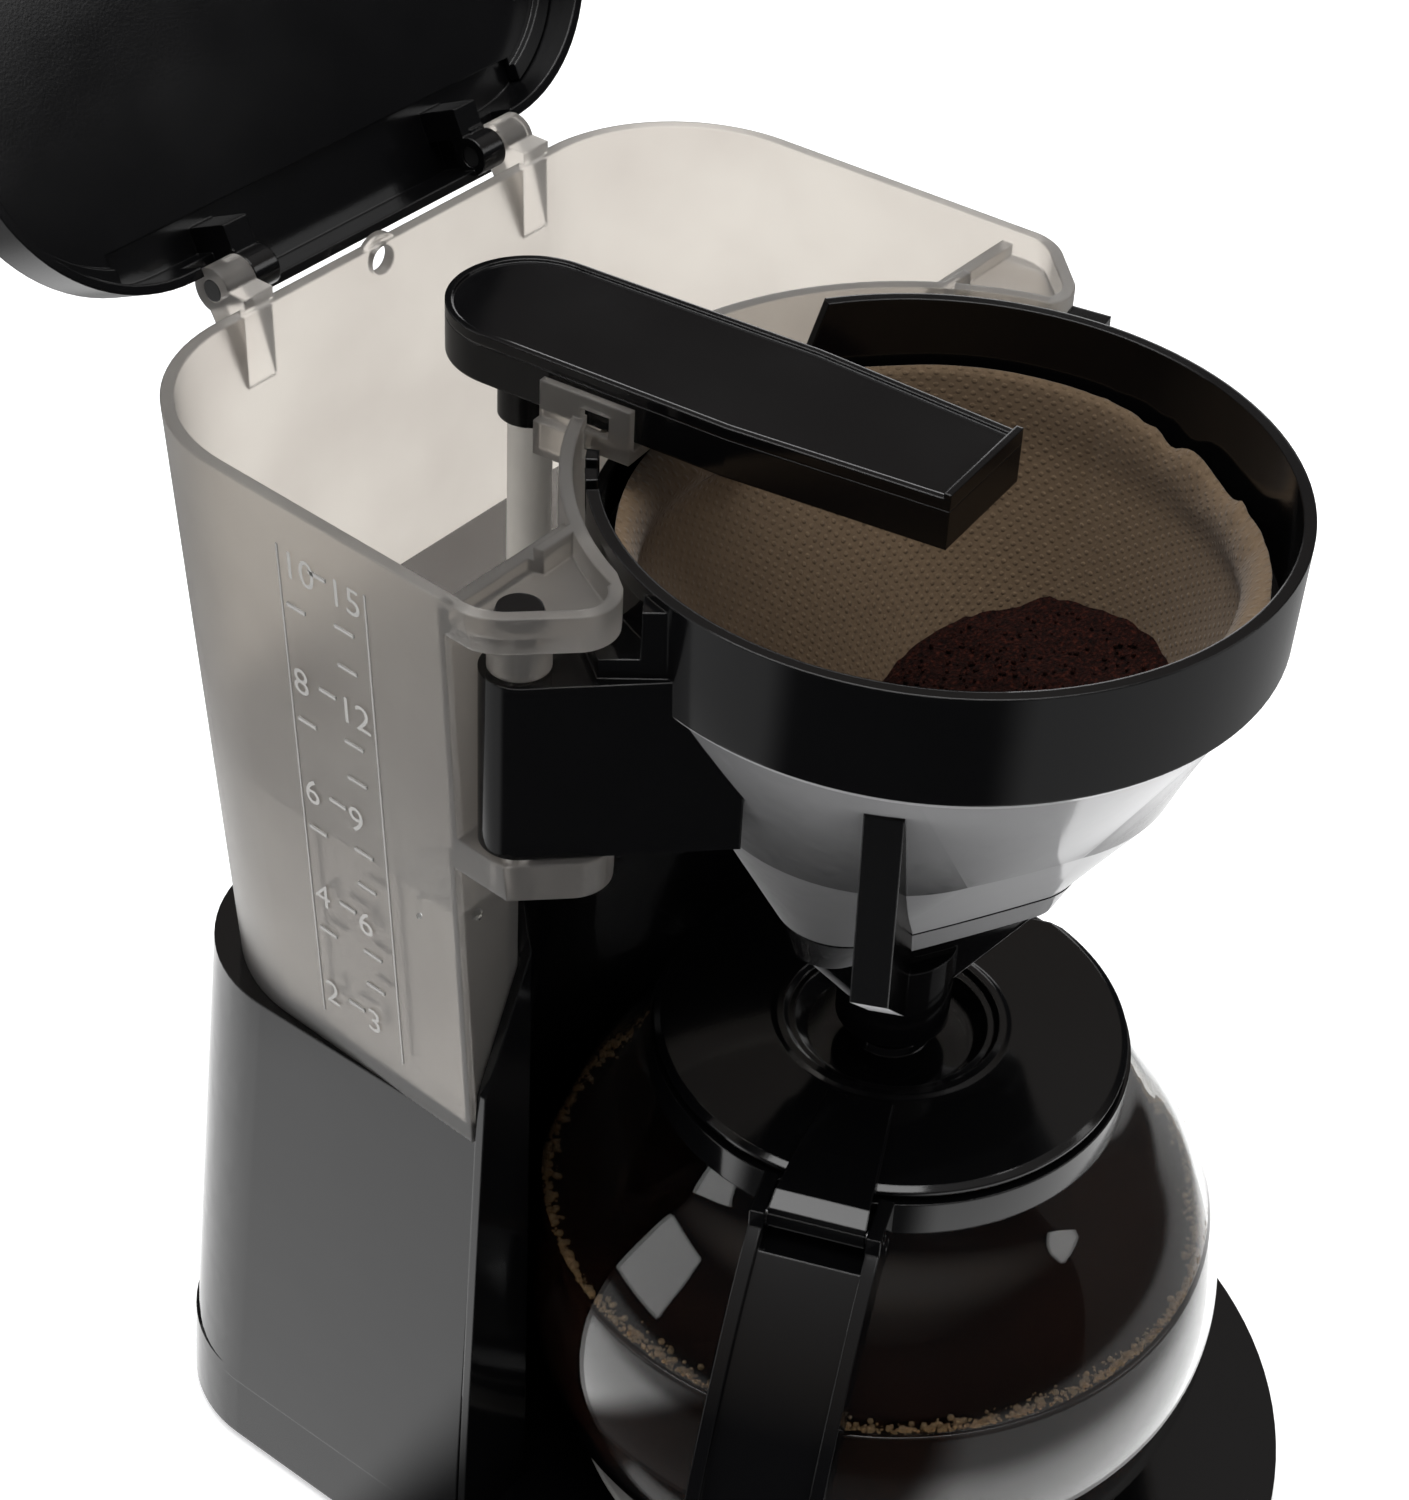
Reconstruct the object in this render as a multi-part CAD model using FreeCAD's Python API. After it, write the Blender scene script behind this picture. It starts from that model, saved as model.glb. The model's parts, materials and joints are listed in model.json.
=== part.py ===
import FreeCAD, Part
import math
import os

# Drip coffee maker with a swing-out cone filter holder and a glass jug.
# Working frame: Z up, table at Z = 0, the axis shared by the filter, the jug and the
# warming plate at X = Y = 0, front of the machine towards -Y. Millimetres.
# Every solid is moved by ORIGIN on export, which puts the origin at the middle of
# the machine's footprint box on the table.

# ---- driving dimensions ----------------------------------------------------------
RIM_Z = 299.0            # top rim of the water tank and of the filter holder
DECK_Z = 23.0            # upper face of the base
BASE_R = 107.5           # front of the base, about the jug axis
BASE_FLARE = 2.5         # how much wider the base is at its foot
WALL = 2.5               # moulded wall of the housing
COLUMN_TOP_Z = 148.0     # the tank stands on the column here
FOOT_Z = 2.0             # lowest edge of the housing
COLUMN_HALF_TOP = 88.0   # half width of the column at its top and at its foot
COLUMN_HALF_FOOT = 98.0
COLUMN_REAR_TOP = 150.0  # rear wall of the column at its top and at its foot
COLUMN_REAR_FOOT = 157.0
REAR_CORNER_R = 36.0
COVER_Y = 45.5           # flat shoulders of the column's front cover
COVER_R = 86.3           # hollow of the front cover, around the jug
COVER_T = 2.3

TANK_X = -1.5            # middle of the tank, and of its lid
TANK_HALF_TOP = 96.9     # half width at SIDE_Y, at the tank's top and foot
TANK_HALF_FOOT = 87.4
SIDE_Y = 54.0
SIDE_TAPER = 0.055       # how much the sides draw in towards the rear
TANK_REAR_TOP = 149.8
TANK_REAR_FOOT = 145.5
TANK_CORNER_R = 40.0
TANK_WALL = 2.8
TANK_HOLLOW_R = 75.4     # front hollow of the tank, around the filter holder
TANK_STEP_Z = 230.0      # below this the tank stands back behind the front cover
TANK_LOW_Y = 48.2        # flat front of the lower tank
TANK_LOW_R = 89.0
EAR_Y = 43.5             # the ears that carry the swing pivot start here
EAR_Z = 291.0            # underside of the upper ear
SHELF_Z = 293.2          # floor of the pocket in the upper ear
LOW_EAR_Z = 238.8        # top of the lower ear
PIVOT = (-86.5, 38.5)    # swing axis of the filter holder
PIVOT_R = 3.0
BRACKET_STEPS = (281.6, 286.0, 297.0)

HINGE_Y = 158.0          # lid hinge axis, along X
HINGE_Z = 300.4
HINGE_EARS = (-44.6, 45.4)
LID_OPEN = 115.0         # degrees from closed
LID_HALF = 95.9
LID_REAR_Y = 154.5
LID_CORNER_R = 42.0
LID_TONGUE = 40.0        # half width of the lid's tongue between the hinge ears
LID_FRONT_R = 77.0
LID_GAP_Z = 300.4        # lower edge of the closed lid
LID_TOP_Z = 315.0

RISER = (-15.0, 97.5)    # axis of the hot water riser inside the tank
RISER_R = 4.95
ARM_TOP_Z = 308.0
ARM_H = 11.5
ARM_TIP = (-3.4, -10.3)  # middle of the outlet end of the spray arm
ARM_HALF_TIP = 15.0
ARM_HALF_REAR = 18.2
OUTLET = (34.0, 108.0)   # cold water outlet in the tank's floor

HOLDER_R = 73.0          # outer radius of the filter holder's band
HOLDER_IN_R = 70.4
BAND_Z = 272.0           # lower edge of the band
# Cone under the band, turning into a wedge: height, half length of the flat sides,
# radius of the ends and shift along the wedge.
CONE_SECTIONS = [(272.0, 0.0, 70.5, 0.0), (226.0, 13.5, 40.0, 4.6), (180.0, 23.5, 6.4, 5.6)]
WEDGE_ANGLE = -28.0      # direction of the wedge, seen from above
WEDGE_Z = 180.0
HOLDER_T = 2.6
COLLAR_Z = 192.0         # the lip round the wedge starts to flare here
RIB_ANGLE = -153.3
NOZZLE_R = 13.0
NOZZLE_Z = 155.0
PAPER_Z = 285.0          # upper edge of the paper filter
PAPER_T = 0.7

PLATE_R = 64.0           # warming plate
PLATE_Z = 26.0
JUG_Z = 26.2             # underside of the jug
GLASS_T = 2.0
NECK_R = 52.6
NECK_Z = 149.0
BAND_IN_R = 52.9         # clamping band round the jug's neck
BAND_OUT_R = 55.2
JUG_BAND_Z = (139.5, 148.4)
LUG_TOP_Z = 144.8        # flanges of the band, and the screw across them
BAND_SCREW_Z = 142.1
HANDLE_ANGLE = -158.0    # direction of the jug's handle, seen from above
HANDLE_HALF = 14.5
JUG_LID_R = 54.3
JUG_LID_Z = 152.0
JUG_HINGE_R = 64.0       # jug lid hinge: distance from the axis, and height
JUG_HINGE_Z = 150.2
SPOUT_CHORD = 44.6

HEATER_R = 41.0          # centre line of the heater's horseshoe
HEATER_Z = 15.5
TUBE_Z = 14.0            # water tube and hoses in the base
TUBE_R = 4.0
HOSE_R = 5.7
ELEMENT_R = 3.3

ORIGIN = (-3.59, 79.11, 0.0)


# ---- helpers ---------------------------------------------------------------------
def vec(x, y, z=0.0):
    return FreeCAD.Vector(x, y, z)


def cylinder(r, z0, z1, x=0.0, y=0.0):
    return Part.makeCylinder(r, z1 - z0, vec(x, y, z0))


def ring(r_out, r_in, z0, z1, x=0.0, y=0.0):
    return cylinder(r_out, z0, z1, x, y).cut(cylinder(r_in, z0 - 1, z1 + 1, x, y))


def rod(axis, r, start, length):
    """Cylinder along a given axis vector."""
    return Part.makeCylinder(r, length, vec(*start), vec(*axis))


def block(x0, x1, y0, y1, z0, z1):
    return Part.makeBox(x1 - x0, y1 - y0, z1 - z0, vec(x0, y0, z0))


def line(p, q):
    return Part.LineSegment(p, q).toShape()


def arc(p, q, r):
    return Part.Arc(p, q, r).toShape()


def corner(cx, cy, r, a0, a1, z):
    """Arc of radius r about (cx, cy), from angle a0 to a1 in degrees."""
    at = [math.radians(a) for a in (a0, (a0 + a1) / 2, a1)]
    return arc(*[vec(cx + r * math.cos(a), cy + r * math.sin(a), z) for a in at])


def round_rect(half, y0, y1, r_front, r_rear, z):
    """Closed outline, symmetrical about X = 0, with rounded corners."""
    front, rear = half - r_front, half - r_rear
    return Part.Wire([
        line(vec(-front, y0, z), vec(front, y0, z)),
        corner(front, y0 + r_front, r_front, -90, 0, z),
        line(vec(half, y0 + r_front, z), vec(half, y1 - r_rear, z)),
        corner(rear, y1 - r_rear, r_rear, 0, 90, z),
        line(vec(rear, y1, z), vec(-rear, y1, z)),
        corner(-rear, y1 - r_rear, r_rear, 90, 180, z),
        line(vec(-half, y1 - r_rear, z), vec(-half, y0 + r_front, z)),
        corner(-front, y0 + r_front, r_front, 180, 270, z),
    ])


def rounded(corners, z):
    """Closed outline through (x, y, radius) corners."""
    at = [vec(x, y, z) for x, y, _ in corners]
    arcs = []
    for i, (_, _, r) in enumerate(corners):
        u = (at[i - 1] - at[i]).normalize()
        v = (at[(i + 1) % len(at)] - at[i]).normalize()
        half = u.getAngle(v) / 2
        cut = r / math.tan(half)
        middle = at[i] + (u + v).normalize() * (r / math.sin(half) - r)
        arcs.append((at[i] + u * cut, middle, at[i] + v * cut))
    edges = []
    for this, following in zip(arcs, arcs[1:] + arcs[:1]):
        edges += [arc(*this), line(this[2], following[0])]
    return Part.Wire(edges)


def tank_plan(half, y0, y1, r_front, r_rear, z):
    """Outline with straight sides that draw in towards the rear."""
    corners = []
    for y, r, side in ((y0, r_front, -1), (y0, r_front, 1), (y1, r_rear, 1), (y1, r_rear, -1)):
        corners.append((TANK_X + side * (half - SIDE_TAPER * (y - SIDE_Y)), y, r))
    return rounded(corners, z)


def base_outline(r_front, half, rear, z):
    """Round front, straight sides and rounded rear corners."""
    y = math.sqrt(r_front ** 2 - half ** 2)
    side = half - REAR_CORNER_R
    return Part.Wire([
        arc(vec(-half, y, z), vec(0, -r_front, z), vec(half, y, z)),
        line(vec(half, y, z), vec(half, rear - REAR_CORNER_R, z)),
        corner(side, rear - REAR_CORNER_R, REAR_CORNER_R, 0, 90, z),
        line(vec(side, rear, z), vec(-side, rear, z)),
        corner(-side, rear - REAR_CORNER_R, REAR_CORNER_R, 90, 180, z),
        line(vec(-half, rear - REAR_CORNER_R, z), vec(-half, y, z)),
    ])


def wedge_outline(a, b, z, split=60.0):
    """Outline that is a circle for a = 0 and long along X otherwise."""
    if a == 0:
        c = b * math.cos(math.radians(split))
        s = b * math.sin(math.radians(split))
        flat = b
    else:
        c, s, flat = a, b, b + 0.4
    return Part.Wire([
        arc(vec(c, -s, z), vec(a + b, 0, z), vec(c, s, z)),
        arc(vec(c, s, z), vec(0, flat, z), vec(-c, s, z)),
        arc(vec(-c, s, z), vec(-a - b, 0, z), vec(-c, -s, z)),
        arc(vec(-c, -s, z), vec(0, -flat, z), vec(c, -s, z)),
    ])


def polygon(points, z):
    return Part.makePolygon([vec(x, y, z) for x, y in points + points[:1]])


def loft(*wires):
    return Part.makeLoft(list(wires), True, True)


def prism(wire, height):
    return Part.Face(wire).extrude(vec(0, 0, height))


def lathe(points):
    """Solid of revolution about Z from (radius, height) points."""
    wire = Part.makePolygon([vec(r, 0, z) for r, z in points + points[:1]])
    return Part.Face(wire).revolve(vec(0, 0, 0), vec(0, 0, 1), 360)


def curve(points):
    spline = Part.BSplineCurve()
    spline.interpolate([vec(r, 0, z) for r, z in points])
    return spline.toShape()


def fuse(*shapes):
    return shapes[0].fuse(list(shapes[1:])).removeSplitter()


def turned(shape, angle):
    """The shape turned about the jug axis."""
    out = shape.copy()
    out.rotate(vec(0, 0), vec(0, 0, 1), angle)
    return out


def polar(r, angle):
    a = math.radians(angle)
    return r * math.cos(a), r * math.sin(a)


def tube_path(points, bend):
    """Straight runs joined by tangent arcs of one radius."""
    edges = []
    start = points[0]
    for before, at, after in zip(points, points[1:], points[2:]):
        u = (before - at).normalize()
        v = (after - at).normalize()
        half = u.getAngle(v) / 2
        cut = bend / math.tan(half)
        p, q = at + u * cut, at + v * cut
        middle = at + (u + v).normalize() * (bend / math.sin(half) - bend)
        edges += [line(start, p), arc(p, middle, q)]
        start = q
    return Part.Wire(edges + [line(start, points[-1])])


def pipe(points, bend, r_out, r_in=0.0):
    """Round tube along a path of straight runs and arcs."""
    points = [vec(*p) for p in points]
    path = tube_path(points, bend)

    def sweep(r):
        circle = Part.makeCircle(r, points[0], points[1] - points[0])
        return path.makePipeShell([Part.Wire(circle)], True, False)

    return sweep(r_out).cut(sweep(r_in)) if r_in else sweep(r_out)


# ---- base and column -------------------------------------------------------------
COLUMN_CUT = 47.9        # the column's side walls start here

SCREW_SPOTS = [(-76, 70), (76, 70), (-62, -60), (62, -60)]
FOOT_SPOTS = [(-84, 96), (84, 96), (-70, -42), (70, -42)]


def base_solid(inset, z0, z1):
    def at(z):
        flare = BASE_FLARE * (DECK_Z - z) / (DECK_Z - FOOT_Z)
        half = COLUMN_HALF_FOOT - 1.6 * (z - FOOT_Z) / (DECK_Z - FOOT_Z)
        return base_outline(BASE_R + flare - inset, half - inset, COLUMN_REAR_FOOT - inset, z)

    return loft(at(z0), at(z1))


def column_solid(inset, z0, z1):
    def at(z):
        t = (z - FOOT_Z) / (COLUMN_TOP_Z - FOOT_Z)
        half = COLUMN_HALF_FOOT + (COLUMN_HALF_TOP - COLUMN_HALF_FOOT) * t - inset
        rear = COLUMN_REAR_FOOT + (COLUMN_REAR_TOP - COLUMN_REAR_FOOT) * t - inset
        return round_rect(half, 0, rear, 4, REAR_CORNER_R - inset, z)

    return loft(at(z0), at(z1)).common(block(-120, 120, COLUMN_CUT, 170, z0, z1))


def body_housing():
    base = base_solid(0, FOOT_Z, DECK_Z).cut(base_solid(WALL, FOOT_Z, DECK_Z - WALL))
    column = column_solid(0, DECK_Z - WALL, COLUMN_TOP_Z)
    column = column.cut(column_solid(WALL, DECK_Z - WALL, COLUMN_TOP_Z - WALL))
    hollow = cylinder(TANK_LOW_R + 0.3, DECK_Z, COLUMN_TOP_Z + 1)
    shell = fuse(base, column.cut(hollow))
    shell = shell.cut(cylinder(PLATE_R + 2.4, 0, DECK_Z + 1))
    # passage from the base up into the column
    shell = shell.cut(block(-70, 70, 91, 140, DECK_Z - WALL - 1, DECK_Z + 1))
    for x, y in (RISER, OUTLET):
        shell = shell.cut(cylinder(9.0, COLUMN_TOP_Z - WALL - 1, COLUMN_TOP_Z + 1, x, y))
    # screw bosses under the deck
    for x, y in SCREW_SPOTS:
        boss = ring(4.0, 1.4, FOOT_Z + 2.4, DECK_Z - WALL + 0.5, x, y)
        shell = shell.fuse(boss)
    # opening for the switch at the front, and for the cord inlet at the rear
    shell = shell.cut(block(-13, 13, -120, -95, 6.5, 18.5))
    shell = shell.cut(rod((0, 1, 0), 5.0, (55, 145, 12.5), 30))
    return shell.removeSplitter()


def front_cover():
    """Black hollow-fronted cover of the column, narrowing up in front of the tank."""
    def skin(y, r, z0, z1):
        return block(-120, 120, -20, y, z0, z1).fuse(cylinder(r, z0, z1))

    top = TANK_STEP_Z - 0.6
    solid = skin(COVER_Y + COVER_T, COVER_R + COVER_T, DECK_Z + 0.2, top)
    solid = solid.cut(skin(COVER_Y, COVER_R, DECK_Z, top + 1))
    outline = [(-96.0, DECK_Z), (-88.2, 162), (-64, 216), (-58, 240),
               (58, 240), (64, 216), (88.2, 162), (96.0, DECK_Z)]
    wire = Part.makePolygon([vec(x, 0, z) for x, z in outline + outline[:1]])
    return solid.common(Part.Face(wire).extrude(vec(0, 150, 0)))


def base_bottom_cover():
    plate = base_solid(WALL + 0.3, FOOT_Z, FOOT_Z + 2.2)
    for x, y in FOOT_SPOTS:
        plate = plate.cut(cylinder(7.3, 0, FOOT_Z + 1.2, x, y))
    for x, y in SCREW_SPOTS:
        plate = plate.cut(cylinder(1.9, 0, 9, x, y))
        plate = plate.cut(cylinder(3.4, 0, FOOT_Z + 1.0, x, y))
    # cooling slots under the heater
    for x in range(-24, 25, 8):
        plate = plate.cut(block(x - 1.5, x + 1.5, -22, 22, 0, 9))
    return plate


def rubber_feet():
    foot = lathe([(0, 0), (6.2, 0), (7.0, 0.8), (7.0, FOOT_Z + 1.1), (0, FOOT_Z + 1.1)])
    return Part.makeCompound([foot.translated(vec(x, y)) for x, y in FOOT_SPOTS])


def pan_screw(r_head, h_head, r_shank, length):
    """Screw pointing up, its head's underside at z = 0."""
    head = lathe([(0, -h_head), (r_head * 0.8, -h_head), (r_head, -h_head * 0.5),
                  (r_head, 0), (r_shank, 0), (r_shank, length), (0, length)])
    slot = block(-r_head, r_head, -0.35, 0.35, -h_head - 1, -h_head * 0.45)
    cross = block(-0.35, 0.35, -r_head, r_head, -h_head - 1, -h_head * 0.45)
    return head.cut(slot).cut(cross)


def base_screws():
    screws = []
    for x, y in SCREW_SPOTS:
        screw = pan_screw(3.0, 0.9, 1.38, 10.0)
        screw.translate(vec(x, y, FOOT_Z + 1.0))
        screws.append(screw)
    return Part.makeCompound(screws)


def warming_plate():
    return lathe([(0, PLATE_Z - 1.2), (PLATE_R - 1.4, PLATE_Z - 1.2), (PLATE_R - 1.4, 20.5),
                  (PLATE_R - 0.2, 20.5), (PLATE_R - 0.2, PLATE_Z - 0.9),
                  (PLATE_R - 1.2, PLATE_Z), (0, PLATE_Z)])


def plate_seal():
    return lathe([(PLATE_R, 19.8), (PLATE_R + 2.2, 19.8), (PLATE_R + 2.2, DECK_Z),
                  (PLATE_R + 5.2, DECK_Z), (PLATE_R + 4.6, DECK_Z + 1.0),
                  (PLATE_R, DECK_Z + 1.4)])


# ---- heater and water path -------------------------------------------------------
HEATER_GAP = 50.0        # half angle of the horseshoe's opening, about +Y
HEATER_TOP = PLATE_Z - 1.3
CLAMP_Z = (8.0, 9.7)
CLAMP_SCREW_X = 40.5


def horseshoe(r, section):
    """Section face in the XZ plane, swept round the open ring."""
    face = section.copy()
    face.translate(vec(r, 0, 0))
    face.rotate(vec(0, 0), vec(0, 0, 1), 90 + HEATER_GAP)
    return face.revolve(vec(0, 0), vec(0, 0, 1), 360 - 2 * HEATER_GAP)


def disc_face(r, x, z):
    return Part.Face(Part.Wire(Part.makeCircle(r, vec(x, 0, z), vec(0, 1, 0))))


def heater_casting():
    section = Part.Face(Part.makePolygon([vec(x, 0, z) for x, z in (
        (-13, HEATER_TOP), (13, HEATER_TOP), (13, 20), (7, 10.5), (-7, 10.5),
        (-13, 20), (-13, HEATER_TOP))]))
    body = horseshoe(HEATER_R, section)
    body = body.cut(horseshoe(HEATER_R + 6, disc_face(TUBE_R, 0, TUBE_Z)))
    body = body.cut(horseshoe(HEATER_R - 6.5, disc_face(ELEMENT_R, 0, HEATER_Z + 3)))
    for sign in (-1, 1):
        body = body.cut(cylinder(1.55, 5, 19, sign * CLAMP_SCREW_X, 0))
    return body


def tangent_stub(r, z, radius, length, side, bore=0.0):
    """Straight end of a horseshoe tube, leaving along its tangent."""
    a = math.radians(90 - side * HEATER_GAP)
    start = (r * math.cos(a), r * math.sin(a), z)
    along = (-side * math.sin(a), side * math.cos(a), 0)
    stub = rod(along, radius, start, length)
    if bore:
        stub = stub.cut(rod(along, bore, start, length))
    return stub


def water_tube():
    r, z = HEATER_R + 6, TUBE_Z
    bent = horseshoe(r, disc_face(TUBE_R, 0, z))
    bent = bent.cut(horseshoe(r, disc_face(TUBE_R - 1.2, 0, z)))
    ends = []
    for side in (-1, 1):
        ends.append(tangent_stub(r, z, TUBE_R, 16, side, TUBE_R - 1.2))
    return fuse(bent, *ends)


def heating_element():
    r, z = HEATER_R - 6.5, HEATER_Z + 3
    bent = horseshoe(r, disc_face(ELEMENT_R, 0, z))
    ends = [tangent_stub(r, z, ELEMENT_R, 7, side) for side in (-1, 1)]
    pins = [tangent_stub(r, z, 1.2, 12, side) for side in (-1, 1)]
    return fuse(bent, *ends, *pins)


def heater_clamp():
    low, high = CLAMP_Z
    strap = block(-60, 60, -6, 6, low, high).fuse(cylinder(13.0, low, high))
    for sign in (-1, 1):
        x = sign * 58
        strap = strap.fuse(block(x - 2, x + 2, -6, 6, low, 19.5))
        strap = strap.cut(cylinder(1.8, 0, 30, sign * CLAMP_SCREW_X, 0))
    return strap.cut(cylinder(9.5, 0, 30)).removeSplitter()


def heater_clamp_screws():
    screws = []
    for sign in (-1, 1):
        screw = pan_screw(2.8, 1.5, 1.5, 9.5)
        screw.translate(vec(sign * CLAMP_SCREW_X, 0, CLAMP_Z[0]))
        screws.append(screw)
    return Part.makeCompound(screws)


def thermostat():
    can = lathe([(0, 13.4), (8.0, 13.4), (8.0, HEATER_TOP - 0.6), (0, HEATER_TOP - 0.6)])
    tabs = [block(x - 0.4, x + 0.4, -3, 3, 9.5, 13.6) for x in (-5, 5)]
    return fuse(can, *tabs)


def thermal_fuse():
    body = rod((1, 0, 0), 2.0, (-8, 22, 20.5), 16)
    leads = [rod((1, 0, 0), 0.6, (-14, 22, 20.5), 6), rod((1, 0, 0), 0.6, (8, 22, 20.5), 6)]
    return fuse(body, *leads)


def tube_end(side):
    """End of the horseshoe part of the water tube, and its direction."""
    a = math.radians(90 - side * HEATER_GAP)
    r = HEATER_R + 6
    along = vec(-side * math.sin(a), side * math.cos(a))
    return vec(r * math.cos(a), r * math.sin(a), TUBE_Z), along


def hose(side, spot):
    """From the water tube's end to the column's passage, then up to the tank."""
    end, along = tube_end(side)
    start = end + along * 5
    out = start + along * 26
    foot = vec(spot[0], spot[1], TUBE_Z)
    top = vec(spot[0], spot[1], COLUMN_TOP_Z - 8)
    return pipe([(p.x, p.y, p.z) for p in (start, out, foot, top)], 8.0, HOSE_R, TUBE_R + 0.05)


def hose_clips():
    clips = []
    for side in (-1, 1):
        end, along = tube_end(side)
        start = end + along * 9
        outer = Part.makeCylinder(HOSE_R + 0.9, 4, start, along)
        clips.append(outer.cut(Part.makeCylinder(HOSE_R + 0.03, 4, start, along)))
    low = COLUMN_TOP_Z - 14
    for x, y in (RISER, OUTLET):
        clips.append(ring(HOSE_R + 0.9, HOSE_R + 0.03, low, low + 4, x, y))
    return Part.makeCompound(clips)


def spigot(z_top):
    """Spout that passes through the tank's floor, with its flange and bore."""
    low = COLUMN_TOP_Z - 22
    return lathe([(2.8, low), (TUBE_R - 0.4, low), (TUBE_R, low + 3), (TUBE_R, z_top),
                  (2.8, z_top)])


def grommet():
    """Soft seal in the tank's floor."""
    z = COLUMN_TOP_Z
    flange, neck = 6.4, 5.2
    return lathe([(TUBE_R + 0.05, z - 3), (8.0, z - 3), (8.0, z - 0.1), (neck, z - 0.1),
                  (neck, z + TANK_WALL + 0.1), (flange, z + TANK_WALL + 0.1),
                  (flange - 0.5, z + TANK_WALL + 2.0), (TUBE_R + 0.05, z + TANK_WALL + 2.0)])


def placed(shape, spot):
    out = shape.copy()
    out.translate(vec(spot[0], spot[1]))
    return out


def check_valve():
    """Cage over the outlet with a loose ball."""
    z = COLUMN_TOP_Z + TANK_WALL + 2.3
    cage = lathe([(3.0, z), (4.4, z), (4.4, z + 9), (0, z + 9), (0, z + 8), (3.0, z + 8)])
    for angle in range(0, 180, 60):
        slot = block(-1.0, 1.0, -9, 9, z + 2.5, z + 7)
        cage = cage.cut(turned(slot, angle))
    ball = Part.makeSphere(2.6, vec(0, 0, z + 5))
    return placed(Part.makeCompound([cage, ball]), OUTLET)


# ---- water tank ------------------------------------------------------------------
SLOT_Y = 47.0            # rear of the slot that the holder's bracket swings in


def tank_solid(inset, z0, z1):
    def at(z):
        t = (z - COLUMN_TOP_Z) / (RIM_Z - COLUMN_TOP_Z)
        half = TANK_HALF_FOOT + (TANK_HALF_TOP - TANK_HALF_FOOT) * t - inset
        rear = TANK_REAR_FOOT + (TANK_REAR_TOP - TANK_REAR_FOOT) * t - inset
        return tank_plan(half, 16.0, rear, 2.0, TANK_CORNER_R - inset, z)

    return loft(at(z0), at(z1))


def ear_solid(side, inset, z0, z1):
    """Ear beside the filter holder: two round ends, filled in towards the hollow."""
    ends = [(83.5, EAR_Y, 14.1 - inset), (78.0, 30.8, 9.0 - inset)]
    (xa, ya, ra), (xb, yb, rb) = [(TANK_X + side * x, y, r) for x, y, r in ends]
    towards = math.atan2(yb - ya, xb - xa)
    spread = math.acos((ra - rb) / math.hypot(xb - xa, yb - ya))
    hull = []
    for x, y, r, signs in ((xa, ya, ra, (-1, 1)), (xb, yb, rb, (1, -1))):
        for sign in signs:
            angle = towards + sign * spread
            hull.append((x + r * math.cos(angle), y + r * math.sin(angle)))
    fill = [(xa, ya), (xb, 24.0 + inset), (TANK_X + side * 71.5, 24.4 + inset),
            (TANK_X + side * 56.5, EAR_Y + 0.5)]
    return fuse(cylinder(ra, z0, z1, xa, ya), cylinder(rb, z0, z1, xb, yb),
                prism(polygon(hull, z0), z1 - z0), prism(polygon(fill, z0), z1 - z0))


def hinge_ear(x):
    ear = rod((1, 0, 0), 5.2, (x - 4.2, HINGE_Y, HINGE_Z), 8.4)
    web = block(x - 4.2, x + 4.2, TANK_REAR_TOP - 1.5, HINGE_Y, HINGE_Z - 5.2, HINGE_Z + 1.5)
    foot = Part.Face(Part.makePolygon([vec(x - 4.2, y, z) for y, z in (
        (TANK_REAR_TOP - 2, 280), (TANK_REAR_TOP + 0.6, 280), (HINGE_Y + 1, HINGE_Z - 5),
        (TANK_REAR_TOP - 2, HINGE_Z - 5), (TANK_REAR_TOP - 2, 280))])).extrude(vec(8.4, 0, 0))
    return fuse(ear, web, foot).cut(rod((1, 0, 0), 2.6, (x - 6, HINGE_Y, HINGE_Z), 12))


def arm_direction():
    dx, dy = RISER[0] - ARM_TIP[0], RISER[1] - ARM_TIP[1]
    length = math.hypot(dx, dy)
    return vec(dx / length, dy / length), vec(-dy / length, dx / length), length


def arm_clip():
    """Catch on the tank's rim that holds the spray arm from the side."""
    along, across, _ = arm_direction()
    near = ARM_HALF_REAR + 0.8

    def bar(s0, s1, t0, t1, z0, z1):
        tip = vec(*ARM_TIP)
        corners = [tip + along * s + across * t for s, t in ((s0, t0), (s1, t0), (s1, t1), (s0, t1))]
        return prism(polygon([(p.x, p.y) for p in corners], z0), z1 - z0)

    low = ARM_TOP_Z - ARM_H - 4.5
    plate = bar(70, 92, near, near + 1.8, low, ARM_TOP_Z - 3.5)
    plate = plate.cut(bar(75, 82, near - 1, near + 4, low + 4.5, ARM_TOP_Z - 6.5))
    ledge = bar(70, 80, 9, near + 1.8, low, low + 2.4)
    foot = bar(84, 92, near, near + 4, low - 4, low + 4.0)
    return fuse(plate, ledge, foot)


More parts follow.
